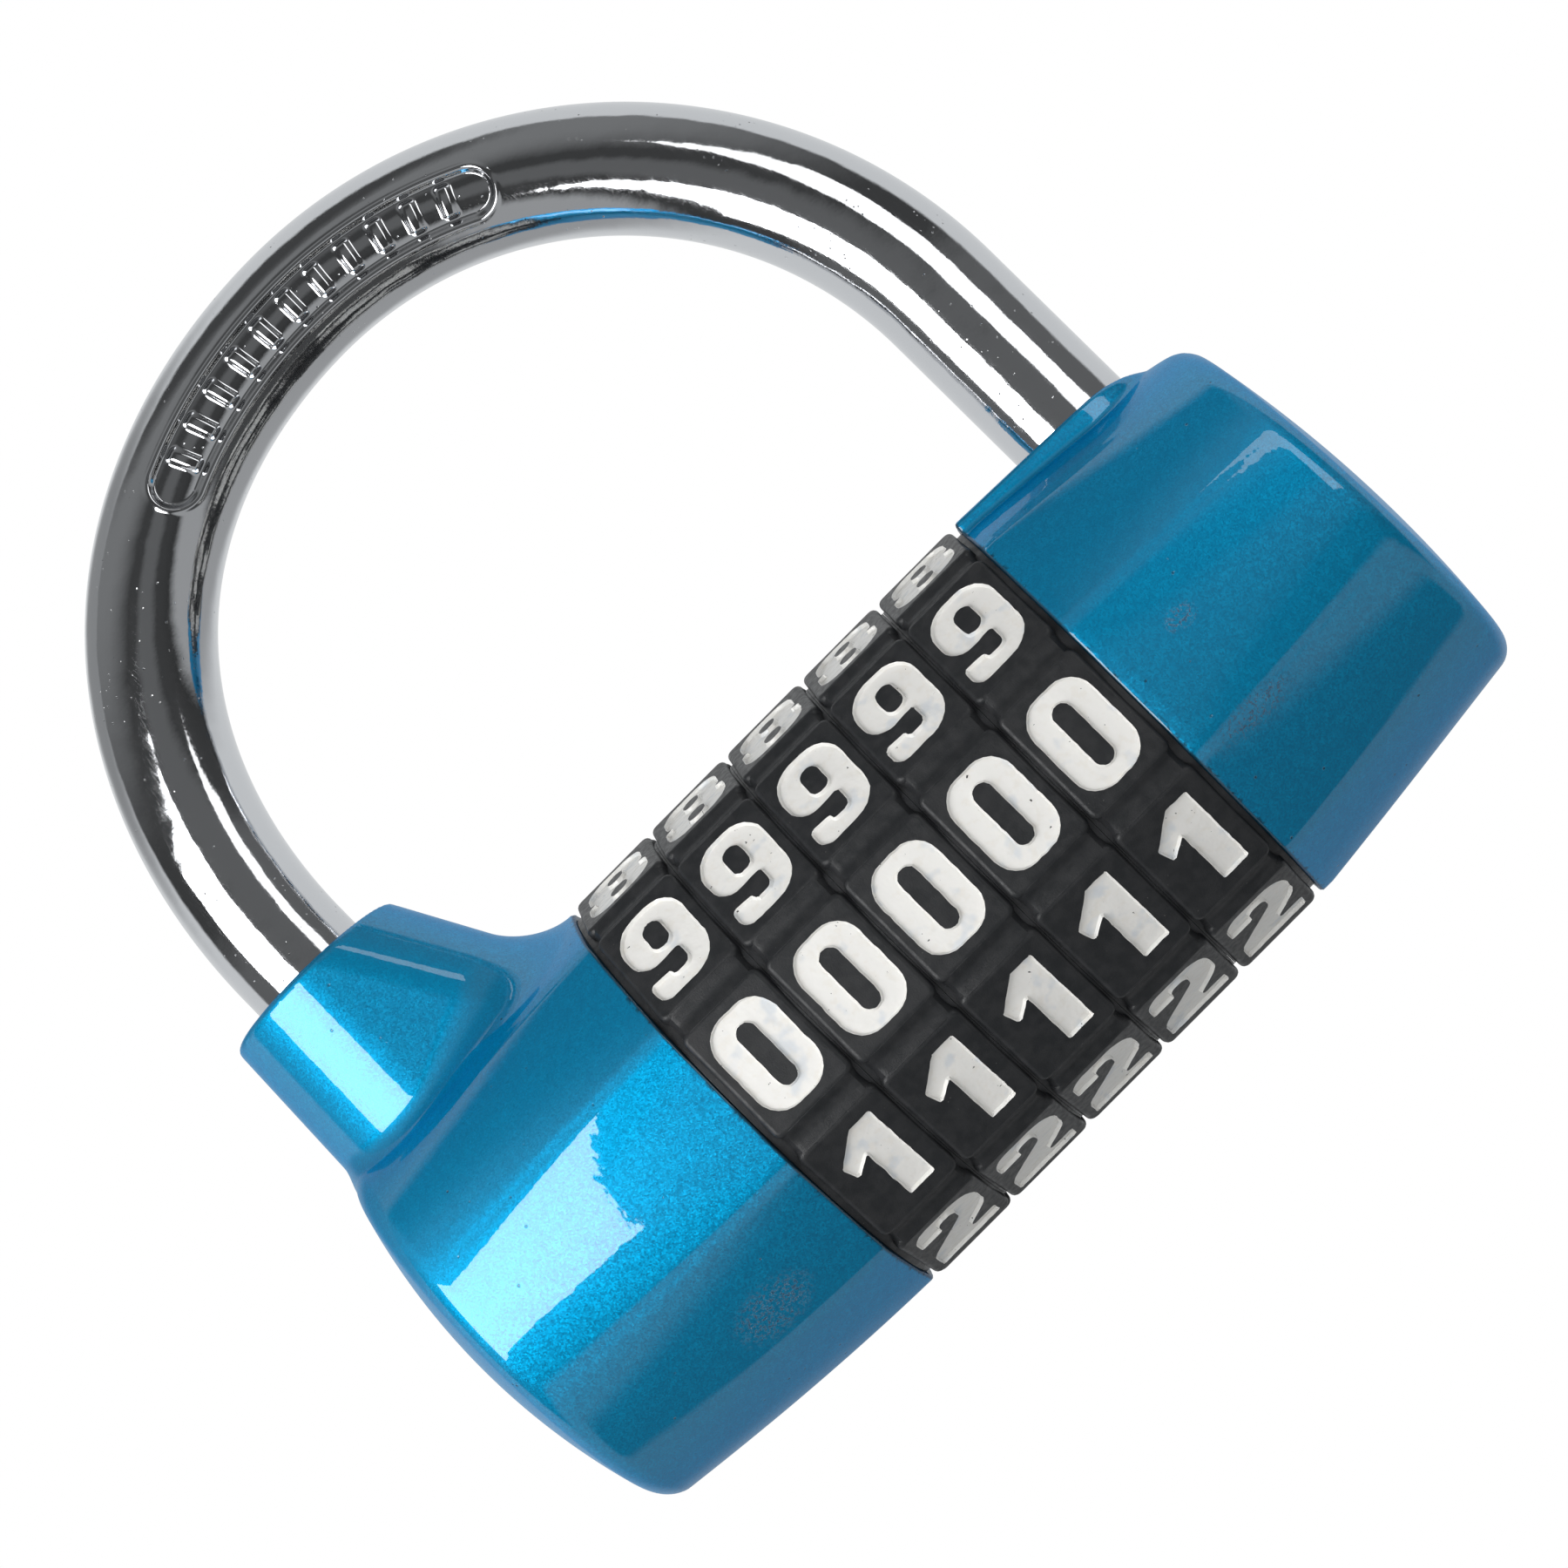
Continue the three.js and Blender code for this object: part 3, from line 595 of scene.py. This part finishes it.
def pill_height(along, across):
    """How far the wire's skin stands from its round at a place on the crown's front."""
    past = np.maximum(np.abs(along) - (PILL_HALF_LENGTH - PILL_HALF_WIDTH), 0)
    inside = PILL_HALF_WIDTH - np.hypot(past, across)
    rim = RIM_HEIGHT * np.exp(-((inside + 0.1) / 0.14) ** 2)
    height = -PILL_DEPTH * step_up(inside, 0.0, 0.32) + rim
    nearest = np.clip(np.round(along / BAR_PITCH), -(BARS // 2), BARS // 2)
    from_bar = np.maximum(np.abs(along - nearest * BAR_PITCH) - BAR_HALF_WIDTH, 0)
    from_end = np.maximum(np.abs(across) - BAR_HALF_LENGTH, 0)
    bar = 1 - step_up(np.hypot(from_bar, from_end), 0.0, 0.42)
    return height + BAR_HEIGHT * bar


def wire_stations():
    """Distances along the centreline from the crown: close together at the recess."""
    quarter = LEG_X * math.pi / 2
    heel = -(quarter + ARCH_Z - HEEL_Z)
    toe = quarter + ARCH_Z - TOE_Z
    fine = PILL_HALF_LENGTH + 0.8
    return np.concatenate([
        np.linspace(heel, -quarter, 40, endpoint=False),
        np.linspace(-quarter, -fine, 60, endpoint=False),
        np.linspace(-fine, fine, 430, endpoint=False),
        np.linspace(fine, quarter, 60, endpoint=False),
        np.linspace(quarter, toe, 24),
    ])


def wire_angles():
    """Angles round the wire, and the recess's own: close together at the recess."""
    middle = math.pi / 2 - PILL_TURN
    fine = 0.62
    front = np.linspace(middle - fine, middle + fine, 84, endpoint=False)
    rest = np.linspace(middle + fine, middle - fine + 2 * math.pi, 76, endpoint=False)
    return np.concatenate([front, rest]), middle


def shackle_mesh():
    angles, middle = wire_angles()
    quarter = LEG_X * math.pi / 2
    stations = wire_stations()
    ends = {0: WIRE_CHAMFERS["heel"], len(stations) - 1: WIRE_CHAMFERS["toe"]}
    rings = []
    for k, s in enumerate(stations):
        turn = np.clip(s, -quarter, quarter) / LEG_X
        below = max(abs(s) - quarter, 0)
        outward = np.array([math.sin(turn), 0, math.cos(turn)])
        swell = SWELL * math.sin(2 * turn) ** 2 if turn < 0 else 0
        centre = np.array([0, 0, ARCH_Z]) + (LEG_X + swell) * outward - np.array([0, 0, below])
        radius = WIRE_R + pill_height(s, (angles - middle) * WIRE_R) * (abs(s) < quarter)
        ring = centre + np.outer(radius * np.cos(angles), outward)
        ring = ring + np.outer(radius * np.sin(angles), (0, -1, 0))
        if k in ends:
            chamfer = ends[k]
            drawn_in = centre + (ring - centre) * (1 - chamfer / WIRE_R)
            rings.append(drawn_in if k == 0 else ring + np.array([0, 0, chamfer]))
            ring = ring + np.array([0, 0, chamfer]) if k == 0 else drawn_in
        rings.append(ring)
    return mesh_of_rings("shackle_wire", rings)


def cut_prism(name, outline, half_width):
    """An outline of [x, z] points swept along Y."""
    rings = [[(x, y, z) for x, z in outline] for y in (-half_width, half_width)]
    return add_object(name, mesh_of_rings(name, [np.array(ring, float) for ring in rings], False))


def cut_collar(name, inner_r, outer_r, low, high):
    """A ring round the heel leg."""
    turn = np.linspace(0, 2 * math.pi, 48, endpoint=False)
    work = bmesh.new()
    loops = []
    for radius, z in ((inner_r, low), (outer_r, low), (outer_r, high), (inner_r, high)):
        x, y = -LEG_X + radius * np.cos(turn), radius * np.sin(turn)
        points = np.stack([x, y, np.full_like(turn, z)], 1)
        loops.append([work.verts.new(p) for p in place_in_frame(points)])
    for a, b in zip(loops, loops[1:] + loops[:1]):
        join_loops(work, a, b)
    return finish_solid(name, work)


def add_shackle(material, cut_material):
    mesh = shackle_mesh()
    mesh.materials.append(material)
    piece = add_object("shackle_wire", mesh)
    pin_lo, pin_hi = box_mm("shackle_pin")
    pin_z = (pin_lo[2] + pin_hi[2]) / 2
    neck_r = -LEG_X - (pin_lo[0] + pin_hi[0]) / 2 - SHACKLE_PIN_R - PIN_CLEARANCE
    low = pin_z - LIFT - SHACKLE_PIN_R - PIN_CLEARANCE
    high = pin_z - LIFT + SHACKLE_PIN_R + PIN_CLEARANCE
    slope = SPINDLE_TRAVEL / LIFT
    wedge_end = -LIFT - SPINDLE_R
    wall = -LEG_X + WIRE_R

    def wedge_x(z):
        return wall - slope * (z - wedge_end)

    wedge = [
        (wall + 1, wedge_end - 1),
        (wedge_x(wedge_end - 1), wedge_end - 1),
        (wedge_x(WEDGE_TOP_Z), WEDGE_TOP_Z),
        (wall + 1, WEDGE_TOP_Z),
    ]
    relief_top = pin_z + SHACKLE_PIN_R + PIN_CLEARANCE
    outer = -LEG_X - WIRE_R - 1
    inner = -LEG_X - neck_r
    relief = [(outer, low), (inner, low), (inner, relief_top), (outer, relief_top)]
    cutters = [
        cut_prism("wedge_cut", wedge, WIRE_R + 1),
        cut_prism("relief_cut", relief, WIRE_R + 1),
        cut_collar("neck_cut", neck_r, WIRE_R + 1, low, high),
    ]
    for cutter in cutters:
        cutter.data.materials.append(cut_material)
    combine(piece, cutters, "DIFFERENCE")
    crisp(piece, 35)
    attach(piece, "shackle")
    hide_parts("shackle")


# ---------- dials ----------
PANEL_CORNER_R = 0.5
PANEL_EDGE = 0.3
HUB_R = 12.85
HUB_CLEARANCE = 0.02
RIDGE_R = 13.42  # the plain band between two panels
TROUGH_DEPTH = 0.22
DIAL_BORE_R = 9.9
NOTCH_R = 10.9
NOTCH_HALF = math.radians(7)
DIGIT_DEPTH = 0.2
RAGGEDNESS = 0.012  # of the digits' edges
PANEL_FOOT_R = 12.2
BAND_OVERLAP = 1.15  # how far the plain ring's troughs reach under the panels
DIAL_TURNS = [0.65, -0.6, -0.3, 1.0, 0.9]  # degrees by which each dial rests off its click

# Each digit is a list of closed outlines of corners: across, up, corner radius.
NINE = [
    [(-2.02, 2.8, 1.6), (2.02, 2.8, 1.6), (2.02, -2.8, 1.7), (-1.98, -2.8, 1.2), (-1.98, -1.35, 0.3),
     (-0.66, -1.45, 0.15), (-0.55, -1.85, 0.3), (0.6, -1.85, 0.45), (0.6, -0.5, 0.25), (-2.02, -0.62, 1.4)],
    [(-0.6, 1.9, 0.55), (0.6, 1.9, 0.55), (0.6, 0.05, 0.5), (-0.6, 0.05, 0.5)],
]
DIGITS = [
    [
        [(-2.0, 2.85, 1.5), (2.0, 2.85, 1.5), (2.0, -2.85, 1.5), (-2.0, -2.85, 1.5)],
        [(-0.6, 1.97, 0.58), (0.6, 1.97, 0.58), (0.6, -1.97, 0.58), (-0.6, -1.97, 0.58)],
    ],
    [[(0.15, 2.62, 0.1), (1.52, 2.62, 0.12), (1.58, -2.62, 0.12), (-0.08, -2.62, 0.12), (-0.11, 0.94, 0.1),
      (-1.24, 0.18, 0.15), (-1.54, 1.2, 0.15)]],
    [[(-2.0, -2.8, 0.12), (2.0, -2.8, 0.12), (2.0, -1.8, 0.12), (0.1, -1.8, 0.25), (2.0, -0.2, 1.1),
      (2.0, 2.8, 1.6), (-2.0, 2.8, 1.5), (-2.0, 0.95, 0.15), (-0.62, 0.95, 0.15), (-0.62, 1.92, 0.45),
      (0.55, 1.92, 0.5), (0.55, 0.75, 0.45), (-2.0, -1.15, 0.9)]],
    [[(-1.95, 2.8, 1.4), (1.9, 2.8, 1.4), (1.9, 0.25, 0.7), (1.45, 0.08, 0.08), (2.02, -0.1, 0.8),
      (2.02, -2.8, 1.5), (-2.02, -2.8, 1.4), (-2.02, -1.0, 0.12), (-0.62, -1.0, 0.12), (-0.62, -1.92, 0.4),
      (0.6, -1.92, 0.45), (0.6, -0.45, 0.4), (-0.45, -0.45, 0.08), (-0.45, 0.5, 0.08), (0.5, 0.5, 0.4),
      (0.5, 1.92, 0.45), (-0.6, 1.92, 0.4), (-0.6, 1.1, 0.12), (-1.95, 1.1, 0.12)]],
    [
        [(0.1, 2.75, 0.1), (1.4, 2.75, 0.1), (1.4, -0.55, 0.05), (2.05, -0.55, 0.08), (2.05, -1.6, 0.08),
         (1.4, -1.6, 0.05), (1.4, -2.75, 0.1), (-0.1, -2.75, 0.1), (-0.1, -1.6, 0.05), (-2.05, -1.6, 0.1),
         (-2.05, -0.45, 0.15)],
        [(-0.1, 1.15, 0.05), (-0.1, -0.55, 0.05), (-1.15, -0.55, 0.05)],
    ],
    [[(-1.7, 2.75, 0.1), (1.75, 2.75, 0.1), (1.75, 1.7, 0.1), (-0.5, 1.7, 0.08), (-0.55, 0.8, 0.1),
      (2.02, 0.9, 1.3), (2.02, -2.8, 1.5), (-2.0, -2.8, 1.4), (-2.0, -1.0, 0.12), (-0.6, -1.0, 0.12),
      (-0.6, -1.92, 0.4), (0.6, -1.92, 0.45), (0.6, -0.15, 0.45), (-1.9, -0.15, 0.15)]],
    [[(-x, -y, r) for x, y, r in outline] for outline in NINE],
    [[(-1.95, 2.75, 0.1), (1.95, 2.75, 0.1), (1.95, 1.75, 0.4), (0.4, -2.75, 0.15), (-1.3, -2.75, 0.12),
      (0.3, 1.7, 0.15), (-1.95, 1.7, 0.1)]],
    [
        [(-1.85, 2.8, 1.4), (1.85, 2.8, 1.4), (1.85, 0.25, 0.7), (1.4, 0.08, 0.1), (2.02, -0.1, 0.8),
         (2.02, -2.8, 1.5), (-2.02, -2.8, 1.5), (-2.02, -0.1, 0.8), (-1.4, 0.08, 0.1), (-1.85, 0.25, 0.7)],
        [(-0.55, 1.92, 0.5), (0.55, 1.92, 0.5), (0.55, 0.7, 0.5), (-0.55, 0.7, 0.5)],
        [(-0.6, -0.5, 0.55), (0.6, -0.5, 0.55), (0.6, -1.92, 0.55), (-0.6, -1.92, 0.55)],
    ],
    NINE,
]


def rounded_outline(corners, arc_steps=7, spacing=0.3):
    """Points along an outline whose corners are arcs. The straights have points too."""
    places = np.array([(x, y) for x, y, _ in corners])
    points = []
    for i, (x, y, radius) in enumerate(corners):
        corner = np.array([x, y])
        before, after = places[i - 1] - corner, places[(i + 1) % len(places)] - corner
        room = 0.49 * min(np.linalg.norm(before), np.linalg.norm(after))
        before, after = before / np.linalg.norm(before), after / np.linalg.norm(after)
        half = math.acos(np.clip(before @ after, -1, 1)) / 2
        reach = min(radius / math.tan(half), room)
        start, end = corner + before * reach, corner + after * reach
        if points:
            fill_straight(points, start, spacing)
        weight = math.sin(half)
        for t in np.linspace(0, 1, arc_steps):
            shares = np.array([(1 - t) ** 2, 2 * weight * t * (1 - t), t * t])
            points.append((shares[0] * start + shares[1] * corner + shares[2] * end) / shares.sum())
    fill_straight(points, points[0], spacing)
    return np.array(points)


def fill_straight(points, end, spacing):
    start = points[-1]
    pieces = int(np.linalg.norm(end - start) // spacing)
    for k in range(1, pieces):
        points.append(start + (end - start) * k / pieces)


def outward_normals(points):
    """The right-hand normal at each point of a closed outline."""
    along = np.roll(points, -1, 0) - np.roll(points, 1, 0)
    normals = np.stack([along[:, 1], -along[:, 0]], 1)
    return normals / np.linalg.norm(normals, axis=1)[:, None]


def signed_area(points):
    following = np.roll(points, -1, 0)
    return 0.5 * (points[:, 0] * following[:, 1] - following[:, 0] * points[:, 1]).sum()


def on_facet(flat, dial_x, facet_angle, rise):
    """Points across and up a facet, placed at a height over it."""
    front = np.array([0, -math.cos(facet_angle), math.sin(facet_angle)])
    up = np.array([0, math.sin(facet_angle), math.cos(facet_angle)])
    centre = np.array([dial_x + DIAL_LENGTH / 2, 0, 0])
    lifted = front * (FACET_R + rise)
    return centre + np.outer(flat[:, 0], (1, 0, 0)) + np.outer(flat[:, 1], up) + lifted


def digit_cutter(digit, dial_x, facet_angle, random, material):
    """The space that a digit takes out of its panel: walls that lean out a little, and a ragged edge."""
    loops = []
    for k, corners in enumerate(DIGITS[digit]):
        points = rounded_outline(corners)
        if (signed_area(points) > 0) != (k == 0):
            points = points[::-1]
        normals = outward_normals(points)
        ragged = random.normal(0, RAGGEDNESS, (len(points), 1))
        loops.append((points + normals * ragged, normals))
    # Each level is a height over the panel, and how far the outline grows there.
    levels = [(-DIGIT_DEPTH, -0.07), (-DIGIT_DEPTH + 0.06, -0.03), (-0.03, 0.0), (0.0, 0.03), (0.4, 0.03)]
    work = bmesh.new()
    rings = []
    for rise, grow in levels:
        level = []
        for points, normals in loops:
            placed = on_facet(points + normals * grow, dial_x, facet_angle, rise)
            level.append([work.verts.new(p) for p in place_in_frame(placed)])
        rings.append(level)
    for lower, upper in zip(rings, rings[1:]):
        for a, b in zip(lower, upper):
            join_loops(work, a, b)
    edges = []
    for loop in rings[-1]:
        edges += [work.edges.get(pair) for pair in zip(loop, loop[1:] + loop[:1])]
    cap = bmesh.ops.triangle_fill(work, edges=edges, use_beauty=True, use_dissolve=False)
    top_to_bottom = {}
    for high, low in zip(rings[-1], rings[0]):
        top_to_bottom.update(zip(high, low))
    for face in [f for f in cap["geom"] if isinstance(f, bmesh.types.BMFace)]:
        work.faces.new([top_to_bottom[v] for v in reversed(face.verts)])
    piece = finish_solid("digit_cut", work)
    piece.data.materials.append(material)
    return piece


def panel(dial_x, facet_angle):
    """One raised facet with rounded corners and edges."""
    half_x = DIAL_LENGTH / 2
    corners = [(-half_x, FACET_HALF), (half_x, FACET_HALF), (half_x, -FACET_HALF), (-half_x, -FACET_HALF)]
    outline = rounded_outline([(x, y, PANEL_CORNER_R) for x, y in corners], 6, 100)
    normals = outward_normals(outline)
    if signed_area(outline) < 0:
        normals = -normals
    levels = [(PANEL_FOOT_R - FACET_R, 0), (-PANEL_EDGE, 0)]
    for turn in (0.25, 0.5, 0.75, 1.0):
        angle = turn * math.pi / 2
        levels.append((-PANEL_EDGE * (1 - math.sin(angle)), -PANEL_EDGE * (1 - math.cos(angle))))
    rings = [on_facet(outline + normals * grow, dial_x, facet_angle, rise) for rise, grow in levels]
    return add_object("panel", mesh_of_rings("panel", rings))


def polar_ring(x, angles, radii):
    return np.stack([np.full_like(angles, x), -radii * np.cos(angles), radii * np.sin(angles)], 1)


def dial_core(dial_x, turn):
    """The plain ring that carries the panels."""
    half_band = math.pi / FACETS - math.atan2(FACET_HALF, FACET_R)
    across = np.linspace(-1, 1, 11)
    marks = (np.arange(FACETS) + 0.5) * 2 * math.pi / FACETS
    angles = (marks[:, None] + across * half_band * BAND_OVERLAP).ravel() + turn
    trough = np.tile(-TROUGH_DEPTH * np.cos(across * math.pi / 2) ** 1.3, FACETS)
    # Distances from the dial's end, and how far its edge is drawn in there.
    profile = [(0.1, 0.6), (0.22, 0.28), (0.45, 0.06), (0.75, 0)]
    profile += [(DIAL_LENGTH - x, drop) for x, drop in reversed(profile)]
    rings = [polar_ring(dial_x + x, angles, RIDGE_R + trough - drop) for x, drop in profile]
    return add_object("dial_core", mesh_of_rings("dial_core", rings))


def dial_hub(dial_x, number):
    """A plain ring that closes the space to the neighbours."""
    start = (dial_x - LEFT_FACE_X if number == 1 else DIAL_GAP / 2) - HUB_CLEARANCE / 2
    end = (RIGHT_FACE_X - dial_x - DIAL_LENGTH if number == DIALS else DIAL_GAP / 2) - HUB_CLEARANCE / 2
    angles = np.linspace(0, 2 * math.pi, 90, endpoint=False)
    rings = [polar_ring(x, angles, HUB_R) for x in (dial_x - start, dial_x + DIAL_LENGTH + end)]
    return add_object("dial_hub", mesh_of_rings("dial_hub", rings))


def dial_bore(dial_x):
    """The dial's hole, with ten notches for the teeth of its code ring."""
    marks = np.arange(FACETS) * 2 * math.pi / FACETS
    before, after = marks - NOTCH_HALF, marks + NOTCH_HALF
    angles = np.stack([before, before, after, after], 1).ravel()
    radii = np.tile([DIAL_BORE_R, NOTCH_R, NOTCH_R, DIAL_BORE_R], FACETS)
    rings = [polar_ring(x, angles, radii) for x in (dial_x - 1, dial_x + DIAL_LENGTH + 1)]
    return add_object("dial_bore", mesh_of_rings("dial_bore", rings))


def add_dial(number, plastic, paint):
    lo, hi = box_mm(f"number_dial_{number}")
    dial_x = (lo[0] + hi[0] - DIAL_LENGTH) / 2
    rest = math.radians(DIAL_TURNS[number - 1])
    angles = [rest - k * 2 * math.pi / FACETS for k in range(FACETS)]
    piece = dial_core(dial_x, rest)
    parts = [panel(dial_x, angle) for angle in angles] + [dial_hub(dial_x, number)]
    bore = dial_bore(dial_x)
    for part in [piece, *parts, bore]:
        part.data.materials.append(plastic)
    combine(piece, parts, "UNION")
    random = np.random.default_rng(number)
    cutters = [digit_cutter(k, dial_x, angle, random, paint) for k, angle in enumerate(angles)]
    combine(piece, [bore, *cutters], "DIFFERENCE")
    crisp(piece)
    piece.name = f"dial_{number}_ring"
    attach(piece, f"dial_{number}")
    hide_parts(f"number_dial_{number}")


# ---------- studio ----------
FLOOR_Z = -0.12  # in metres
FLOOR_R = 3


def add_softbox(name, near, far, low, high, radiance, glossy=True):
    """An upright rectangular light over two places on the ground, in millimetres from the barrel's axis."""
    near, far = Vector((*near, 0)), Vector((*far, 0))
    along = (far - near).normalized()
    up = Vector((0, 0, 1))
    back = along.cross(up)
    if back.dot(near + far) < 0:
        along, back = -along, -back
    data = bpy.data.lights.new(name, "AREA")
    data.shape = "RECTANGLE"
    data.size = (far - near).length * MM
    data.size_y = (high - low) * MM
    data.energy = radiance * math.pi * data.size * data.size_y
    light = bpy.data.objects.new(name, data)
    middle = (near + far) / 2 + up * ((low + high) / 2 + AXIS_Z)
    light.matrix_world = Matrix.Translation(middle * MM) @ Matrix((along, up, back)).transposed().to_4x4()
    light.visible_camera = False
    light.visible_glossy = glossy
    bpy.context.scene.collection.objects.link(light)


def add_world():
    """White behind the lock. What the lock reflects is darker in front and pale behind, above and below."""
    world = bpy.data.worlds.new("studio")
    world.use_nodes = True
    bpy.context.scene.world = world
    tree = world.node_tree
    nodes, links = tree.nodes, tree.links
    nodes.clear()
    direction = nodes.new("ShaderNodeTexCoord").outputs["Generated"]
    split = nodes.new("ShaderNodeSeparateXYZ")
    links.new(direction, split.inputs[0])

    def band(value, low, high, start, end):
        node = nodes.new("ShaderNodeMapRange")
        node.interpolation_type = "SMOOTHSTEP"
        links.new(value, node.inputs["Value"])
        for key, value in (("From Min", low), ("From Max", high), ("To Min", start), ("To Max", end)):
            node.inputs[key].default_value = value
        return node.outputs["Result"]

    def join(operation, a, b):
        node = nodes.new("ShaderNodeMath")
        node.operation = operation
        links.new(a, node.inputs[0])
        links.new(b, node.inputs[1])
        return node.outputs[0]

    depth, height = split.outputs[1], split.outputs[2]
    toward = nodes.new("ShaderNodeVectorMath")
    toward.operation = "DOT_PRODUCT"
    links.new(direction, toward.inputs[0])
    toward.inputs[1].default_value = Vector((-0.6, 0.4, 0.69)).normalized()
    off_axis = band(toward.outputs["Value"], 0.82, 0.97, 1.0, 0.42)
    behind = join("MULTIPLY", band(depth, 0.02, 0.16, 0.06, 0.78), off_axis)
    behind = join("MULTIPLY", behind, band(height, -0.25, -0.6, 1.0, 0.55))

    def belt(rise, fall):
        return join("MULTIPLY", band(height, *rise), band(height, *fall))

    ceiling = belt((0.2, 0.8, 0.0, 0.24), (0.86, 0.97, 1.0, 0.3))
    ground = belt((-0.4, -0.58, 0.0, 0.42), (-0.8, -0.9, 1.0, 0.18))
    horizon = belt((-0.3, -0.05, 0.0, 0.15), (0.12, 0.35, 1.0, 0.0))
    brightest = join("MAXIMUM", join("MAXIMUM", behind, ceiling), join("MAXIMUM", ground, horizon))
    surround = nodes.new("ShaderNodeBackground")
    links.new(brightest, surround.inputs["Strength"])
    surround.inputs["Color"].default_value = rgb(0.97, 0.99, 1.0)
    backdrop = nodes.new("ShaderNodeBackground")
    backdrop.inputs["Color"].default_value = rgb(1, 1, 1)
    mix = nodes.new("ShaderNodeMixShader")
    links.new(nodes.new("ShaderNodeLightPath").outputs["Is Camera Ray"], mix.inputs[0])
    links.new(surround.outputs[0], mix.inputs[1])
    links.new(backdrop.outputs[0], mix.inputs[2])
    links.new(mix.outputs[0], nodes.new("ShaderNodeOutputWorld").inputs["Surface"])


def add_floor():
    """A round pale floor well below the lock, which fades into the white of the room."""
    turn = np.linspace(0, 2 * math.pi, 96, endpoint=False)
    mesh = bpy.data.meshes.new("floor")
    rim = [(FLOOR_R * math.cos(a), FLOOR_R * math.sin(a), FLOOR_Z) for a in turn]
    mesh.from_pydata(rim, [], [list(range(len(rim)))])
    g = Graph("floor")
    away = g.add("VectorMath", {0: g.place}, operation="LENGTH").outputs["Value"]
    speckle = g.mix(g.noise(0.4, 3), rgb(0.86, 0.86, 0.86), rgb(0.9, 0.9, 0.9))
    g.set(Base_Color=speckle, Roughness=0.7)
    glow = g.add("Emission", {"Color": rgb(1, 1, 1), "Strength": 1.0}).outputs[0]
    mix = g.add("MixShader", {0: g.ramp(away, 70, 190), 1: g.shader.outputs[0], 2: glow})
    g.tree.links.new(mix.outputs[0], g.tree.nodes["Material Output"].inputs["Surface"])
    mesh.materials.append(g.material)
    floor = add_object("floor", mesh)
    floor.visible_glossy = False
    floor.visible_diffuse = False


# ---------- the scene ----------
add_camera()
add_castings()
cut_steel = bare_metal("cut_steel", (0.13, 0.13, 0.135), (0.22, 0.22, 0.225), 0.42)
add_shackle(chrome(), cut_steel)
plastic, paint = black_plastic(), digit_paint()
for number in range(1, DIALS + 1):
    add_dial(number, plastic, paint)

steel = bare_metal("steel", (0.4, 0.4, 0.42), (0.6, 0.6, 0.61), 0.3)
brass = bare_metal("brass", (0.5, 0.34, 0.13), (0.72, 0.54, 0.25), 0.28)
for node, piece in frame["nodes"].items():
    inner = brass if node == "core_tube" or node.startswith("code_ring") else steel
    piece.data.materials.clear()
    piece.data.materials.append(inner)

add_softbox("left_softbox", (-42, -118), (-105, -52), low=-10, high=60, radiance=5.0)
add_softbox("right_softbox", (56, -77), (125, -76), low=5, high=90, radiance=1.7)
add_softbox("fill", (-50, -140), (50, -140), low=-90, high=0, radiance=1.8, glossy=False)
add_world()
add_floor()
bpy.context.scene.view_settings.view_transform = "Standard"
